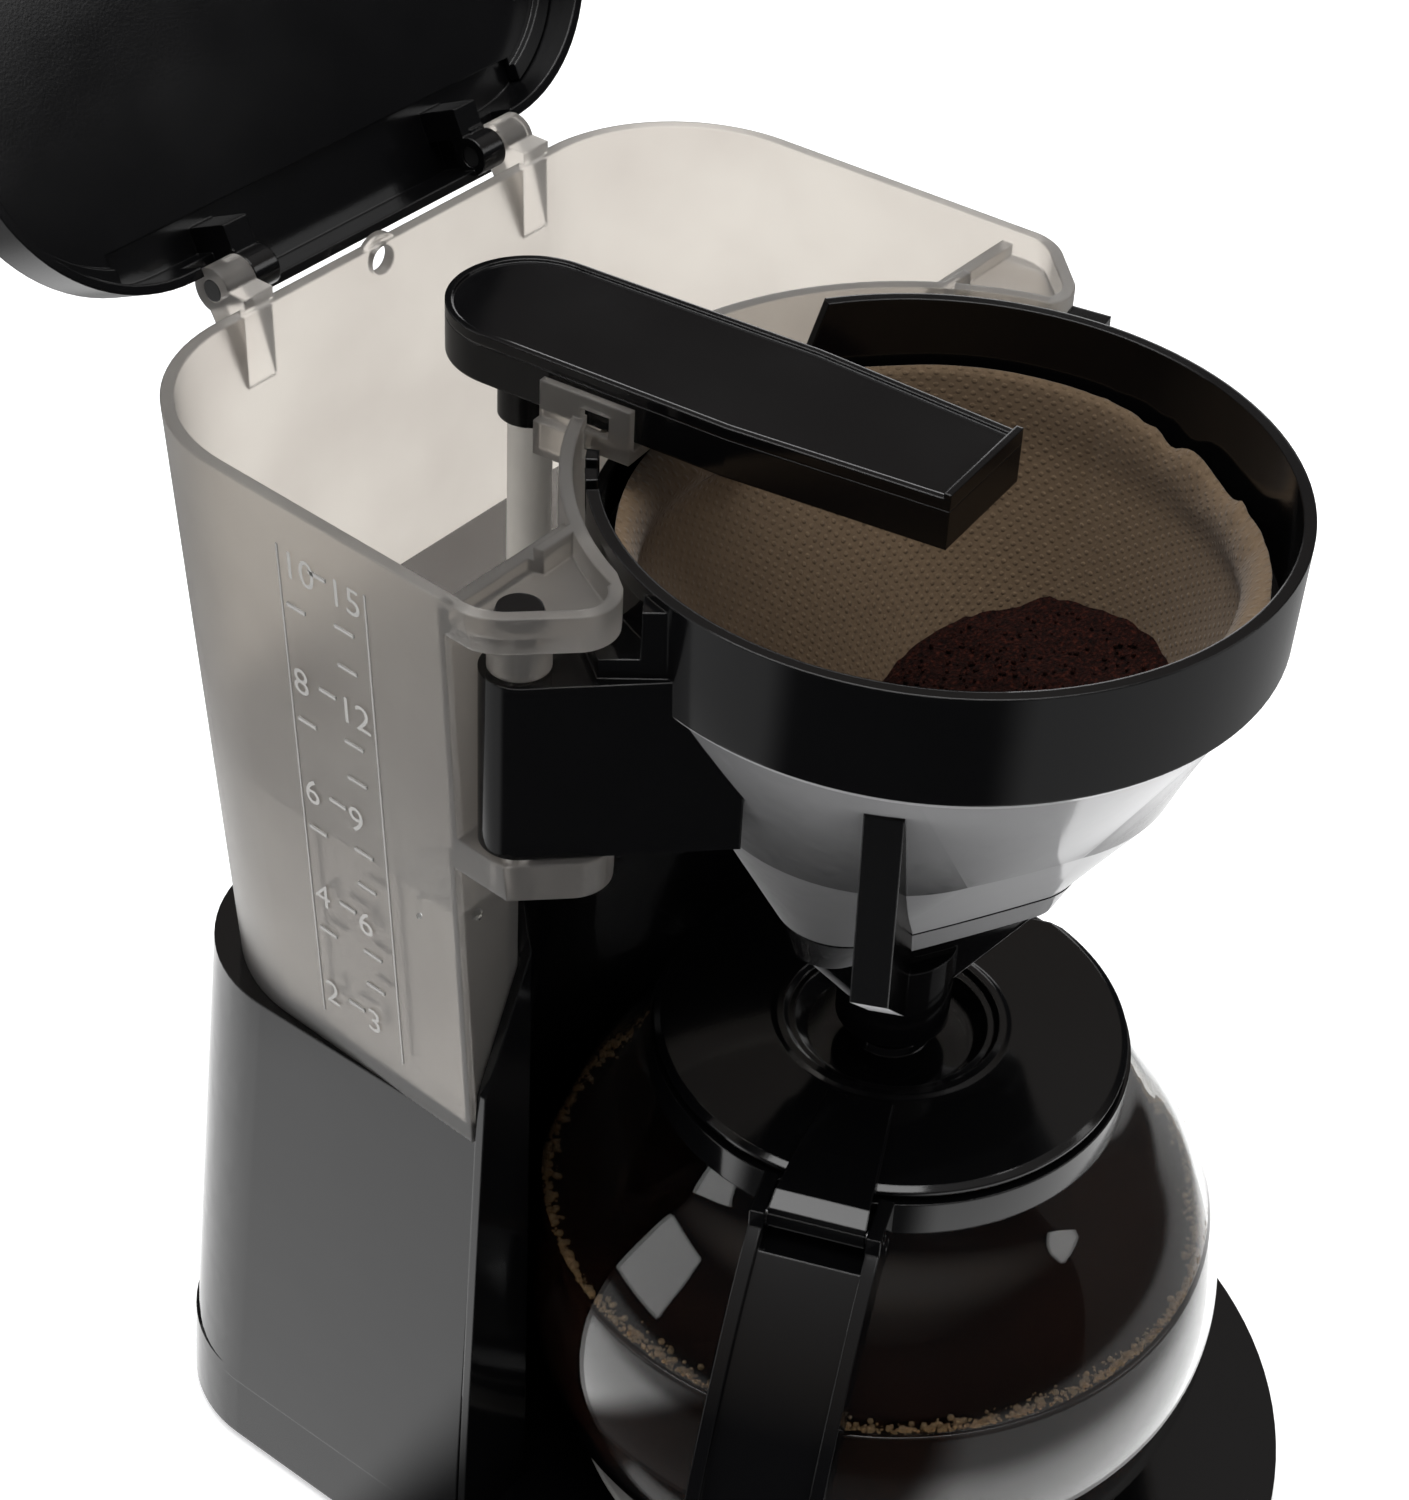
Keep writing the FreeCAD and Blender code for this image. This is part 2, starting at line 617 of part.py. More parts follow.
def water_tank():
    outer = tank_solid(0, COLUMN_TOP_Z, RIM_Z)
    outer = outer.common(fuse(block(-120, 120, EAR_Y, 170, 140, RIM_Z + 1),
                              ear_solid(-1, 0, TANK_STEP_Z, RIM_Z),
                              ear_solid(1, 0, TANK_STEP_Z, RIM_Z)))
    front = cylinder(TANK_HOLLOW_R, TANK_STEP_Z - 1, RIM_Z + 1)
    low = block(-120, 120, 0, TANK_LOW_Y, 140, TANK_STEP_Z).fuse(
        cylinder(TANK_LOW_R, 140, TANK_STEP_Z))
    slot = block(-120, -58, 0, SLOT_Y, LOW_EAR_Z, EAR_Z)
    outer = outer.cut(front).cut(low).cut(slot)

    floor_z = COLUMN_TOP_Z + TANK_WALL
    wall_y = SLOT_Y + TANK_WALL
    keep = fuse(block(-120, 120, EAR_Y, 170, 140, RIM_Z + 2),
                ear_solid(1, TANK_WALL, TANK_STEP_Z + TANK_WALL, RIM_Z - 9))
    cavity = tank_solid(TANK_WALL, floor_z, RIM_Z + 1).common(keep)
    cavity = cavity.cut(cylinder(TANK_HOLLOW_R + TANK_WALL, 140, RIM_Z + 2))
    cavity = cavity.cut(block(-120, -55, 0, wall_y, 140, RIM_Z + 2))
    cavity = cavity.cut(block(55, 120, 0, wall_y, RIM_Z - 9, RIM_Z + 2))
    cavity = cavity.cut(block(-120, 120, 0, TANK_LOW_Y + TANK_WALL, 140, TANK_STEP_Z + TANK_WALL))
    cavity = cavity.cut(cylinder(TANK_LOW_R + TANK_WALL, 140, TANK_STEP_Z + TANK_WALL))
    tank = outer.cut(cavity)

    # pocket in the top of each ear, with a lower wall behind it
    for side in (-1, 1):
        pocket = ear_solid(side, TANK_WALL, SHELF_Z, RIM_Z + 1)
        pocket = pocket.cut(cylinder(TANK_HOLLOW_R + TANK_WALL, SHELF_Z - 1, RIM_Z + 2))
        tank = tank.cut(pocket.cut(block(-120, 120, SLOT_Y, 80, 200, 320)))
    wall_top = block(-120, 120, SLOT_Y - 1, wall_y + 1, RIM_Z - 3.0, RIM_Z + 1)
    wall_top = wall_top.cut(block(-56, 56, 0, 80, 200, 320))
    wall_top = wall_top.cut(cylinder(TANK_HOLLOW_R + TANK_WALL, 140, RIM_Z + 2))
    tank = tank.cut(wall_top.common(tank_solid(TANK_WALL, 200, RIM_Z + 1)))
    tank = tank.fuse(cylinder(6.4, BRACKET_STEPS[0] + 0.4, EAR_Z + 0.5, *PIVOT))

    # bores for the pivot pin, the two seals and the notch that the spray arm lies in
    tank = tank.cut(cylinder(PIVOT_R + 0.05, TANK_STEP_Z - 1, SHELF_Z + 1, *PIVOT))
    for spot in (RISER, OUTLET):
        tank = tank.cut(cylinder(5.25, COLUMN_TOP_Z - 1, floor_z + 1, *spot))
    tank = tank.cut(prism(arm_outline(-0.5, ARM_TOP_Z - ARM_H - 0.4), ARM_H))
    ears = [hinge_ear(x) for x in HINGE_EARS]
    ring_tab = rod((0, 1, 0), 6.0, (-7.6, TANK_REAR_TOP - 2.2, RIM_Z - 4.0), 2.0)
    hole = rod((0, 1, 0), 3.4, (-7.6, TANK_REAR_TOP - 6, RIM_Z - 4.0), 12)
    return fuse(tank, *ears, arm_clip(), ring_tab).cut(hole)


def riser_tube():
    z0 = COLUMN_TOP_Z + TANK_WALL + 2.4
    return ring(RISER_R, 3.4, z0, ARM_TOP_Z - ARM_H + 0.9, *RISER)


def arm_outline(inset, z):
    """Outline of the spray arm: square outlet end, wider middle, round rear end."""
    along, across, length = arm_direction()
    tip = vec(ARM_TIP[0], ARM_TIP[1], z)

    def at(s, t):
        return tip + along * s + across * t

    r = ARM_HALF_REAR - inset
    wide = ARM_HALF_REAR + 0.4 - inset
    front = ARM_HALF_TIP - inset
    return Part.Wire([
        line(at(inset, front), at(inset, -front)),
        line(at(inset, -front), at(length * 0.45, -wide)),
        line(at(length * 0.45, -wide), at(length, -r)),
        arc(at(length, -r), at(length + r, 0), at(length, r)),
        line(at(length, r), at(length * 0.45, wide)),
        line(at(length * 0.45, wide), at(inset, front)),
    ])


def spray_arm():
    """Channel of the arm with its collar over the riser and its outlet holes."""
    low = ARM_TOP_Z - ARM_H
    body = prism(arm_outline(0, low), ARM_H - 2.6)
    body = body.cut(prism(arm_outline(2.0, low + 2.0), ARM_H))
    collar = cylinder(RISER_R + 2.2, low - 16, low + 2.0, *RISER)
    body = body.fuse(collar).cut(cylinder(RISER_R + 0.04, low - 20, low + 1.0, *RISER))
    body = body.cut(cylinder(RISER_R - 1.0, low - 20, low + 4, *RISER))
    along, across, _ = arm_direction()
    for s in (7, 13, 19):
        for t in (-7, 0, 7):
            at = vec(*ARM_TIP) + along * s + across * t
            body = body.cut(cylinder(1.4, low - 1, low + 4, at.x, at.y))
    return body.removeSplitter()


def spray_arm_cover():
    """Lid of the arm: a shallow tray with a raised lip across the outlet end."""
    top = prism(arm_outline(0, ARM_TOP_Z - 2.5), 2.5)
    dish = prism(arm_outline(1.6, ARM_TOP_Z - 0.6), 2.0)
    along, across, _ = arm_direction()
    p = vec(*ARM_TIP)
    lip = Part.Face(Part.makePolygon([vec(q.x, q.y, ARM_TOP_Z - 1.0) for q in (
        p - across * ARM_HALF_TIP, p + across * ARM_HALF_TIP,
        p + across * ARM_HALF_TIP + along * 1.6, p - across * ARM_HALF_TIP + along * 1.6,
        p - across * ARM_HALF_TIP)])).extrude(vec(0, 0, 2.2))
    locate = prism(arm_outline(2.15, ARM_TOP_Z - 4.2), 1.8)
    locate = locate.cut(prism(arm_outline(3.6, ARM_TOP_Z - 5), 3.0))
    return fuse(top.cut(dish), lip, locate)


# ---- electrical parts in the base ------------------------------------------------
ROCKER_AXLE_Y = 2.2      # switch axle, behind the front of the base
ROCKER_TILT = 6.0        # the rocker rests tilted to its off side


def switch_bezel():
    frame = block(-12.7, 12.7, -BASE_R - 1.6, -BASE_R + 5, 6.8, 18.2)
    return frame.cut(block(-10.4, 10.4, -130, -95, 8.6, 16.4)).cut(
        rod((1, 0, 0), 1.55, (-11.6, -BASE_R + ROCKER_AXLE_Y, 12.5), 23.2))


def switch_rocker():
    """Rocker with a shallow V face, on its own stub axle."""
    y, z = -BASE_R, 12.5
    face = Part.Face(Part.makePolygon([vec(-10.1, y + dy, z + dz) for dy, dz in (
        (-3.0, -3.2), (-1.8, 0), (-3.0, 3.2), (1.6, 3.2), (4.2, 1.6), (4.2, -1.6),
        (1.6, -3.2), (-3.0, -3.2))])).extrude(vec(20.2, 0, 0))
    axle = rod((1, 0, 0), 1.5, (-11.5, y + ROCKER_AXLE_Y, z), 23.0)
    rocker = face.fuse(axle).removeSplitter()
    rocker.rotate(vec(0, y + ROCKER_AXLE_Y, z), vec(1, 0, 0), -ROCKER_TILT)
    return rocker


def cord_gland():
    y = COLUMN_REAR_FOOT
    outer = rod((0, 1, 0), 4.9, (55, y - 6, 12.5), 7.5)
    flange = rod((0, 1, 0), 7.0, (55, y + 0.1, 12.5), 1.9)
    nut = rod((0, 1, 0), 7.0, (55, y - 6, 12.5), 3.0)
    return fuse(outer, flange, nut).cut(rod((0, 1, 0), 3.3, (55, y - 10, 12.5), 20))


def terminal_block():
    body = block(36, 56, 122, 134, FOOT_Z + 2.4, 14)
    for x in (41, 51):
        body = body.cut(cylinder(2.2, 10, 15, x, 128))
        body = body.cut(rod((0, 1, 0), 1.4, (x, 120, 8.5), 20))
    return body


# ---- tank lid, built closed and then opened --------------------------------------
def lid_plan(inset, z, height):
    big = prism(tank_plan(LID_HALF - inset, 20 + inset, LID_REAR_Y - inset,
                          17 - inset, LID_CORNER_R - inset, z), height)
    side = LID_TONGUE - inset
    tongue = block(TANK_X - side, TANK_X + side, 120, HINGE_Y + 5.3 - inset, z, z + height)
    return fuse(big, cylinder(LID_FRONT_R - inset, z, z + height), tongue)


def opened(shape):
    out = shape.copy()
    out.rotate(vec(0, HINGE_Y, HINGE_Z), vec(1, 0, 0), -LID_OPEN)
    return out


def lid_shell():
    skirt = lid_plan(0, LID_GAP_Z, LID_TOP_Z - 3.0 - LID_GAP_Z)
    crown = lid_plan(1.2, LID_TOP_Z - 3.0, 1.5)
    crest = lid_plan(3.6, LID_TOP_Z - 1.5, 1.5)
    shell = fuse(skirt, crown, crest)
    shell = shell.cut(lid_plan(2.2, LID_GAP_Z - 1, LID_TOP_Z - 2.4 - LID_GAP_Z + 1))
    # two lugs beside the tank's hinge ears carry the hinge pins
    for x, side in zip(HINGE_EARS, (1, -1)):
        x0 = x + side * 4.8
        x1 = x0 + side * 7
        lo, hi = min(x0, x1), max(x0, x1)
        lug = fuse(rod((1, 0, 0), 4.6, (lo, HINGE_Y, HINGE_Z), hi - lo),
                   block(lo, hi, LID_REAR_Y - 8, HINGE_Y, HINGE_Z + 0.4, HINGE_Z + 4.6),
                   block(lo, hi, LID_REAR_Y - 8, LID_REAR_Y - 1, HINGE_Z + 0.4, LID_TOP_Z - 2))
        shell = shell.fuse(lug).cut(rod((1, 0, 0), 2.53, (lo - 1, HINGE_Y, HINGE_Z), 9))
        # relief for the tank's ear
        shell = shell.cut(block(x - 4.8, x + 4.8, LID_REAR_Y - 5, HINGE_Y + 8,
                                HINGE_Z - 6, HINGE_Z + 7))
    return opened(shell.removeSplitter())


def lid_liner():
    """Flat inner panel of the lid, with a raised border."""
    plate = lid_plan(2.5, LID_TOP_Z - 4.2, 1.7)
    border = lid_plan(2.5, LID_TOP_Z - 6.0, 1.9).cut(lid_plan(6.0, LID_TOP_Z - 7, 3.9))
    liner = fuse(plate, border)
    liner = liner.cut(block(-64, 64, LID_REAR_Y - 11, 170, LID_TOP_Z - 8, LID_TOP_Z))
    return opened(liner)


def lid_hinge_pins():
    pins = []
    for x, side in zip(HINGE_EARS, (1, -1)):
        start = x - 4.2 if side > 0 else x - 4.8 - 6.5
        pins.append(rod((1, 0, 0), 2.5, (start, HINGE_Y, HINGE_Z), 15.5))
    return Part.makeCompound(pins)


# ---- filter holder ---------------------------------------------------------------
def placed_wedge(a, b, shift, z):
    return turned(wedge_outline(a, b, z).translated(vec(shift, 0)), WEDGE_ANGLE)


def holder_section(z, inset):
    """Outline of the holder's cone at a height, moved in by an inset."""
    upper, lower = CONE_SECTIONS[:2] if z > CONE_SECTIONS[1][0] else CONE_SECTIONS[1:]
    t = (upper[0] - z) / (upper[0] - lower[0])
    a, b, shift = [p + (q - p) * t for p, q in zip(upper[1:], lower[1:])]
    return placed_wedge(max(a, 0.0), b - inset, shift, z)


def cone(inset, z0, z1):
    """The holder's cone from z0 down to z1, through its middle section."""
    middle = CONE_SECTIONS[1][0]
    upper = loft(holder_section(z0, inset), holder_section(middle, inset))
    return upper.fuse(loft(holder_section(middle, inset), holder_section(z1, inset)))


def bracket():
    """Stepped arm that joins the holder to its pivot between the tank's ears."""
    x, y = PIVOT
    low = LOW_EAR_Z + 0.4
    first, second, third = BRACKET_STEPS
    near, far = (-60.5, 2.2), (-50.0, 12.0)
    foot = [(x - 5.9, y - 5.4), near, far, (-66.0, 30.5), (x + 5.4, y + 5.9)]
    middle = [(-79.8, 24.5), near, far, (-66.0, 30.5), (-72.0, 35.5)]
    top = [(-74.6, 18.4), near, far, (-62.5, 27.0)]
    arm = fuse(prism(polygon(foot, low), first - low), cylinder(8.0, low, first, x, y),
               prism(polygon(middle, first - 1), second - first + 1),
               prism(polygon(top, first - 1), third - first + 1))
    return arm.cut(cylinder(PIVOT_R + 0.05, 200, 320, x, y))


def rib():
    """Upright fin on the front of the cone."""
    face = Part.Face(Part.makePolygon([vec(r, 0, z) for r, z in (
        (46, 264), (65.3, 263), (57, 207), (14, 166), (6, 166), (46, 264))]))
    return turned(face.extrude(vec(0, 8, 0)).translated(vec(0, -4, 0)), RIB_ANGLE)


def filter_basket():
    band = lathe([(0, BAND_Z), (HOLDER_R - 1.8, BAND_Z), (HOLDER_R - 0.6, BAND_Z + 1.5),
                  (HOLDER_R, RIM_Z), (0, RIM_Z)])
    lip = loft(holder_section(COLLAR_Z, -0.3), holder_section(WEDGE_Z + 1, -2.0))
    edge = loft(holder_section(WEDGE_Z + 1, -2.0), holder_section(WEDGE_Z, -1.2))
    foot = loft(holder_section(WEDGE_Z, -0.8), placed_wedge(6, 8, 0, 166))
    latch = block(70, 80, -4.5, 4.5, RIM_Z - 8, RIM_Z - 2)
    outer = fuse(band, cone(0, BAND_Z, WEDGE_Z), lip, edge, foot, rib(), bracket(),
                 cylinder(NOZZLE_R, NOZZLE_Z, 177), turned(latch, 12.0))
    ledge = BAND_Z + 2
    inner = fuse(cylinder(HOLDER_IN_R, ledge, RIM_Z + 1),
                 loft(wedge_outline(0, HOLDER_IN_R, ledge), holder_section(BAND_Z - 1, HOLDER_T)),
                 cone(HOLDER_T, BAND_Z - 1, WEDGE_Z + 2),
                 loft(holder_section(WEDGE_Z + 2, HOLDER_T), wedge_outline(0, 8.6, 175)))
    basket = outer.cut(inner)
    # rear part of the rim is lower, under the spray arm, with slanted ends
    low_rim = []
    for z, first, last in ((PAPER_Z, 60.5, 122), (RIM_Z + 1, 56.5, 124)):
        low_rim.append(polygon([(0, 0), polar(160, first), polar(160, 90), polar(160, last)], z))
    rim = ring(HOLDER_R + 8, HOLDER_IN_R - 5, PAPER_Z, RIM_Z + 1)
    basket = basket.cut(rim.common(loft(*low_rim)))
    # hook notches at the end of the low part
    for angle in (128.0, 134.0):
        cut = turned(block(60, 80, -1.6, 1.6, RIM_Z - 6, RIM_Z + 1), angle)
        basket = basket.cut(cut)
    # drip valve seat and chamber
    basket = basket.cut(cylinder(9.0, 161.5, 176))
    basket = basket.cut(cylinder(9.0, NOZZLE_Z - 1, 159.5))
    return basket.cut(cylinder(5.0, 158, 163)).removeSplitter()


def filter_paper():
    def skin(extra, low):
        top = wedge_outline(0, HOLDER_IN_R - 0.8 - extra, PAPER_Z)
        gap = HOLDER_T + 0.7 + extra
        shoulder, middle = holder_section(BAND_Z - 3, gap), holder_section(CONE_SECTIONS[1][0], gap)
        foot = holder_section(196, gap)
        toe = placed_wedge(22 - extra, 3.4 - extra, 5.4, low)
        return loft(top, shoulder).fuse([loft(shoulder, middle), loft(middle, foot), loft(foot, toe)])

    return skin(0, 187).cut(skin(PAPER_T, 187 + PAPER_T)).removeSplitter()


def drip_valve():
    """Plunger with its sealing disc above the seat and a foot below the nozzle."""
    return lathe([(0, 154.0), (6.5, 154.0), (6.5, 155.6), (3.4, 156.6), (3.4, 162.6),
                  (7.2, 162.6), (7.2, 164.2), (3.0, 164.2), (3.0, 171.0), (0, 171.0)])


def valve_seal():
    return ring(7.6, 5.0, 161.5, 162.5)


def valve_spring():
    return ring(5.6, 4.4, 164.4, 172.6)


def valve_cage():
    """Bridge that the spring pushes against."""
    bridge = lathe([(3.2, 172.8), (8.9, 172.8), (8.9, 174.0), (3.2, 174.0)])
    for angle in (0, 60, 120):
        bridge = bridge.cut(turned(block(-20, 20, -0.9, 0.9, 170, 173.2), angle))
    return bridge


def pivot_pin():
    return lathe([(0, TANK_STEP_Z + 0.2), (PIVOT_R, TANK_STEP_Z + 0.2),
                  (PIVOT_R, SHELF_Z + 0.2), (PIVOT_R + 2.2, SHELF_Z + 0.2),
                  (PIVOT_R + 1.6, SHELF_Z + 2.0), (0, SHELF_Z + 2.0)]).translated(vec(*PIVOT))


# ---- jug -------------------------------------------------------------------------
GLASS_OUT = [(52, JUG_Z), (60.5, 28.6), (72.5, 38.5), (81.0, 54), (84.5, 74), (82.4, 93),
             (75.6, 110), (65.4, 124), (57.2, 132.4), (NECK_R, 138.6)]


def glass_inside():
    """Inner wall of the jug: the outer wall moved in by the glass."""
    points = []
    for i, (r, z) in enumerate(GLASS_OUT):
        before = GLASS_OUT[max(i - 1, 0)]
        after = GLASS_OUT[min(i + 1, len(GLASS_OUT) - 1)]
        dr, dz = after[0] - before[0], after[1] - before[1]
        size = math.hypot(dr, dz)
        points.append((r - GLASS_T * dz / size, z + GLASS_T * dr / size))
    points[0] = (GLASS_OUT[0][0] - 0.6, JUG_Z + GLASS_T + 0.4)
    points[-1] = (NECK_R - GLASS_T, GLASS_OUT[-1][1])
    return points


def glass_jug():
    inner = glass_inside()
    top_out = vec(NECK_R, 0, NECK_Z)
    top_in = vec(NECK_R - GLASS_T, 0, NECK_Z)
    axis_low, axis_high = vec(0, 0, JUG_Z), vec(0, 0, inner[0][1])
    first, last = GLASS_OUT[0], GLASS_OUT[-1]
    profile = Part.Wire([
        line(axis_low, vec(first[0], 0, first[1])),
        curve(GLASS_OUT),
        line(vec(last[0], 0, last[1]), top_out),
        arc(top_out, vec(NECK_R - GLASS_T / 2, 0, NECK_Z + GLASS_T / 2), top_in),
        line(top_in, vec(inner[-1][0], 0, inner[-1][1])),
        curve(inner[::-1]),
        line(vec(inner[0][0], 0, inner[0][1]), axis_high),
        line(axis_high, axis_low),
    ])
    return Part.Face(profile).revolve(vec(0, 0), vec(0, 0, 1), 360)


def jug_band():
    """Clamping band, with a flange on each side for the handle."""
    low, high = JUG_BAND_Z
    band = ring(BAND_OUT_R, BAND_IN_R, low, high)
    lugs = [block(BAND_OUT_R - 1.2, BAND_OUT_R + 8, y, y + 2.0, low, LUG_TOP_Z) for y in (-5.5, 3.5)]
    gap = block(BAND_IN_R - 2, BAND_OUT_R + 1, -3.5, 3.5, low - 1, high + 1)
    band = fuse(band, *lugs).cut(gap)
    band = band.cut(rod((0, 1, 0), 1.7, (BAND_OUT_R + 4.6, -10, BAND_SCREW_Z), 20))
    return turned(band, HANDLE_ANGLE)


HANDLE_BACK = [(66, 148.5), (82, 137), (95, 124), (108, 107), (117, 88), (120.5, 66), (118, 44)]
HANDLE_THICK = 12.0


def handle_bar(y0, y1, sink):
    """Curved bar of the handle between two sides; sink lowers its outer face."""
    outer, inner = [], []
    for i, (r, z) in enumerate(HANDLE_BACK):
        before = HANDLE_BACK[max(i - 1, 0)]
        after = HANDLE_BACK[min(i + 1, len(HANDLE_BACK) - 1)]
        dr, dz = after[0] - before[0], after[1] - before[1]
        size = math.hypot(dr, dz)
        nr, nz = -dz / size, dr / size
        outer.append((r - sink * nr, z - sink * nz))
        inner.append((r - HANDLE_THICK * nr, z - HANDLE_THICK * nz))
    ends = [vec(r, 0, z) for r, z in (outer[0], inner[0], inner[-1], outer[-1])]
    wire = Part.Wire([curve(outer), line(ends[3], ends[2]), curve(inner[::-1]),
                      line(ends[1], ends[0])])
    return Part.Face(wire).extrude(vec(0, y1 - y0, 0)).translated(vec(0, y0, 0))


def jug_handle():
    rail = 3.0
    half = HANDLE_HALF
    bars = [handle_bar(-half, -half + rail, 0), handle_bar(half - rail, half, 0),
            handle_bar(-half + rail, half - rail, 2.2)]
    # root of the handle, clasping the band's flanges
    root = block(BAND_OUT_R + 0.4, 68, -half, half, 136.5, JUG_HINGE_Z + 1.4)
    root = root.cut(block(BAND_OUT_R - 5, JUG_HINGE_R + 6, -11.2, 11.2, 146.2, 160))
    body = fuse(root, *bars)
    low = JUG_BAND_Z[0]
    screw_x = BAND_OUT_R + 4.6
    for y in (-5.5, 3.5):
        body = body.cut(block(50, BAND_OUT_R + 8.3, y - 0.3, y + 2.3, low - 0.4, LUG_TOP_Z + 0.4))
    body = body.cut(rod((0, 1, 0), 1.9, (screw_x, -9, BAND_SCREW_Z), 30))
    body = body.cut(rod((0, 1, 0), 3.4, (screw_x, -30, BAND_SCREW_Z), 21.7))
    body = body.cut(block(JUG_HINGE_R - 7, 73, -11.2, 11.2, 143.0, 160))
    body = body.cut(rod((0, 1, 0), 1.55, (JUG_HINGE_R, -half - 1, JUG_HINGE_Z - 2.2), 40))
    return turned(body.removeSplitter(), HANDLE_ANGLE)


def band_screw():
    """Clamp screw lying across the band's flanges, with its nut."""
    x, z = BAND_OUT_R + 4.6, BAND_SCREW_Z
    screw = pan_screw(3.1, 2.0, 1.5, 16.0)
    screw.rotate(vec(0, 0), vec(1, 0, 0), -90)
    screw.translate(vec(x, -8.5, z))
    nut = rod((0, 1, 0), 1.68, (x, 5.9, z), 2.4).cut(rod((0, 1, 0), 1.52, (x, 5, z), 5))
    return turned(Part.makeCompound([screw, nut]), HANDLE_ANGLE)


def jug_lid():
    """Lid with a central well, a chord cut for the spout, and a thumb tongue."""
    z = JUG_LID_Z
    disc = lathe([(0, 146.0), (17.5, 146.0), (20.5, z - 2.4), (JUG_LID_R - 6, z - 2.4),
                  (JUG_LID_R - 6, NECK_Z + 0.6 - 6), (JUG_LID_R - 4.4, NECK_Z + 0.6 - 6),
                  (JUG_LID_R - 4.4, NECK_Z + 1.2), (JUG_LID_R, NECK_Z + 1.2),
                  (JUG_LID_R, z - 0.9), (JUG_LID_R - 1.6, z), (27.5, z + 0.6), (26.3, z + 1.2),
                  (24.6, z + 1.2), (23.6, z - 0.2), (22.0, z - 0.2), (19.0, 148.0), (9.0, 148.0),
                  (8.0, 149.6), (0, 150.2)])
    disc = disc.cut(turned(block(SPOUT_CHORD, 70, -60, 60, NECK_Z + 0.6, 170), HANDLE_ANGLE + 180))
    tongue = Part.Face(Part.makePolygon([vec(x, y, NECK_Z + 1.3) for x, y in (
        (28, -7.4), (66.5, -10.8), (66.5, 10.8), (28, 7.4), (28, -7.4))])).extrude(vec(0, 0, 3.9))
    slope = Part.Face(Part.makePolygon([vec(x, -20, zz) for x, zz in (
        (26, z + 0.7), (50, z + 2.3), (62, z + 2.3), (70, z - 1.5), (70, 170), (26, 170),
        (26, z + 0.7))])).extrude(vec(0, 40, 0))
    knuckle = rod((0, 1, 0), 2.8, (JUG_HINGE_R, -10.8, JUG_HINGE_Z - 2.2), 21.6)
    web = block(JUG_HINGE_R - 2.8, JUG_HINGE_R + 2.8, -10.8, 10.8, JUG_HINGE_Z - 2.2, NECK_Z + 1.6)
    arm = fuse(tongue.cut(slope), knuckle, web)
    arm = arm.cut(rod((0, 1, 0), 1.55, (JUG_HINGE_R, -20, JUG_HINGE_Z - 2.2), 40))
    return fuse(disc, turned(arm, HANDLE_ANGLE))


def jug_lid_pin():
    pin = rod((0, 1, 0), 1.5, (JUG_HINGE_R, -HANDLE_HALF + 0.4, JUG_HINGE_Z - 2.2),
              2 * HANDLE_HALF - 0.8)
    return turned(pin, HANDLE_ANGLE)


# ---- assembly --------------------------------------------------------------------
def riser_spigot():
    return placed(spigot(COLUMN_TOP_Z + TANK_WALL + 2.3), RISER)


def outlet_spigot():
    return placed(spigot(COLUMN_TOP_Z + TANK_WALL + 2.2), OUTLET)


PARTS = {
    "body_housing": body_housing,
    "column_front_cover": front_cover,
    "base_bottom_cover": base_bottom_cover,
    "rubber_feet": rubber_feet,
    "base_screws": base_screws,
    "warming_plate": warming_plate,
    "plate_seal": plate_seal,
    "heater_casting": heater_casting,
    "heater_water_tube": water_tube,
    "heating_element": heating_element,
    "heater_clamp": heater_clamp,
    "heater_clamp_screws": heater_clamp_screws,
    "thermostat": thermostat,
    "thermal_fuse": thermal_fuse,
    "cold_hose": lambda: hose(1, OUTLET),
    "hot_hose": lambda: hose(-1, RISER),
    "hose_clips": hose_clips,
    "outlet_spigot": outlet_spigot,
    "riser_spigot": riser_spigot,
    "outlet_seal": lambda: placed(grommet(), OUTLET),
    "riser_seal": lambda: placed(grommet(), RISER),
    "check_valve": check_valve,
    "water_tank": water_tank,
    "riser_tube": riser_tube,
    "spray_arm": spray_arm,
    "spray_arm_cover": spray_arm_cover,
    "switch_bezel": switch_bezel,
    "switch_rocker": switch_rocker,
    "cord_gland": cord_gland,
    "terminal_block": terminal_block,
    "lid_shell": lid_shell,
    "lid_liner": lid_liner,
    "lid_hinge_pins": lid_hinge_pins,
    "filter_basket": filter_basket,
    "filter_paper": filter_paper,
    "drip_valve": drip_valve,
    "valve_seal": valve_seal,
    "valve_spring": valve_spring,
    "valve_cage": valve_cage,
    "pivot_pin": pivot_pin,
    "glass_jug": glass_jug,
    "jug_band": jug_band,
    "jug_handle": jug_handle,
    "band_screw": band_screw,
    "jug_lid": jug_lid,
    "jug_lid_pin": jug_lid_pin,
}


def main():
    os.makedirs("parts", exist_ok=True)
    whole = FreeCAD.BoundBox()
    for name, make in PARTS.items():
        shape = make()
        shape.translate(vec(*ORIGIN) * -1)
        if not shape.isValid() or not shape.Solids:
            print("CHECK", name, "valid", shape.isValid(), "solids", len(shape.Solids))
        shape.exportStep("parts/" + name + ".step")
        whole.add(shape.BoundBox)
    print("box", [round(v, 2) for v in (whole.XMin, whole.XMax, whole.YMin, whole.YMax,
                                        whole.ZMin, whole.ZMax)])


main()
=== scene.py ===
"""Drip coffee maker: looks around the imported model. Lengths in the helpers are in
millimetres from the axis shared by the filter, the jug and the warming plate."""
import json
import math
import random

import bmesh
import bpy
from mathutils import Matrix, Vector, noise
from mathutils.bvhtree import BVHTree


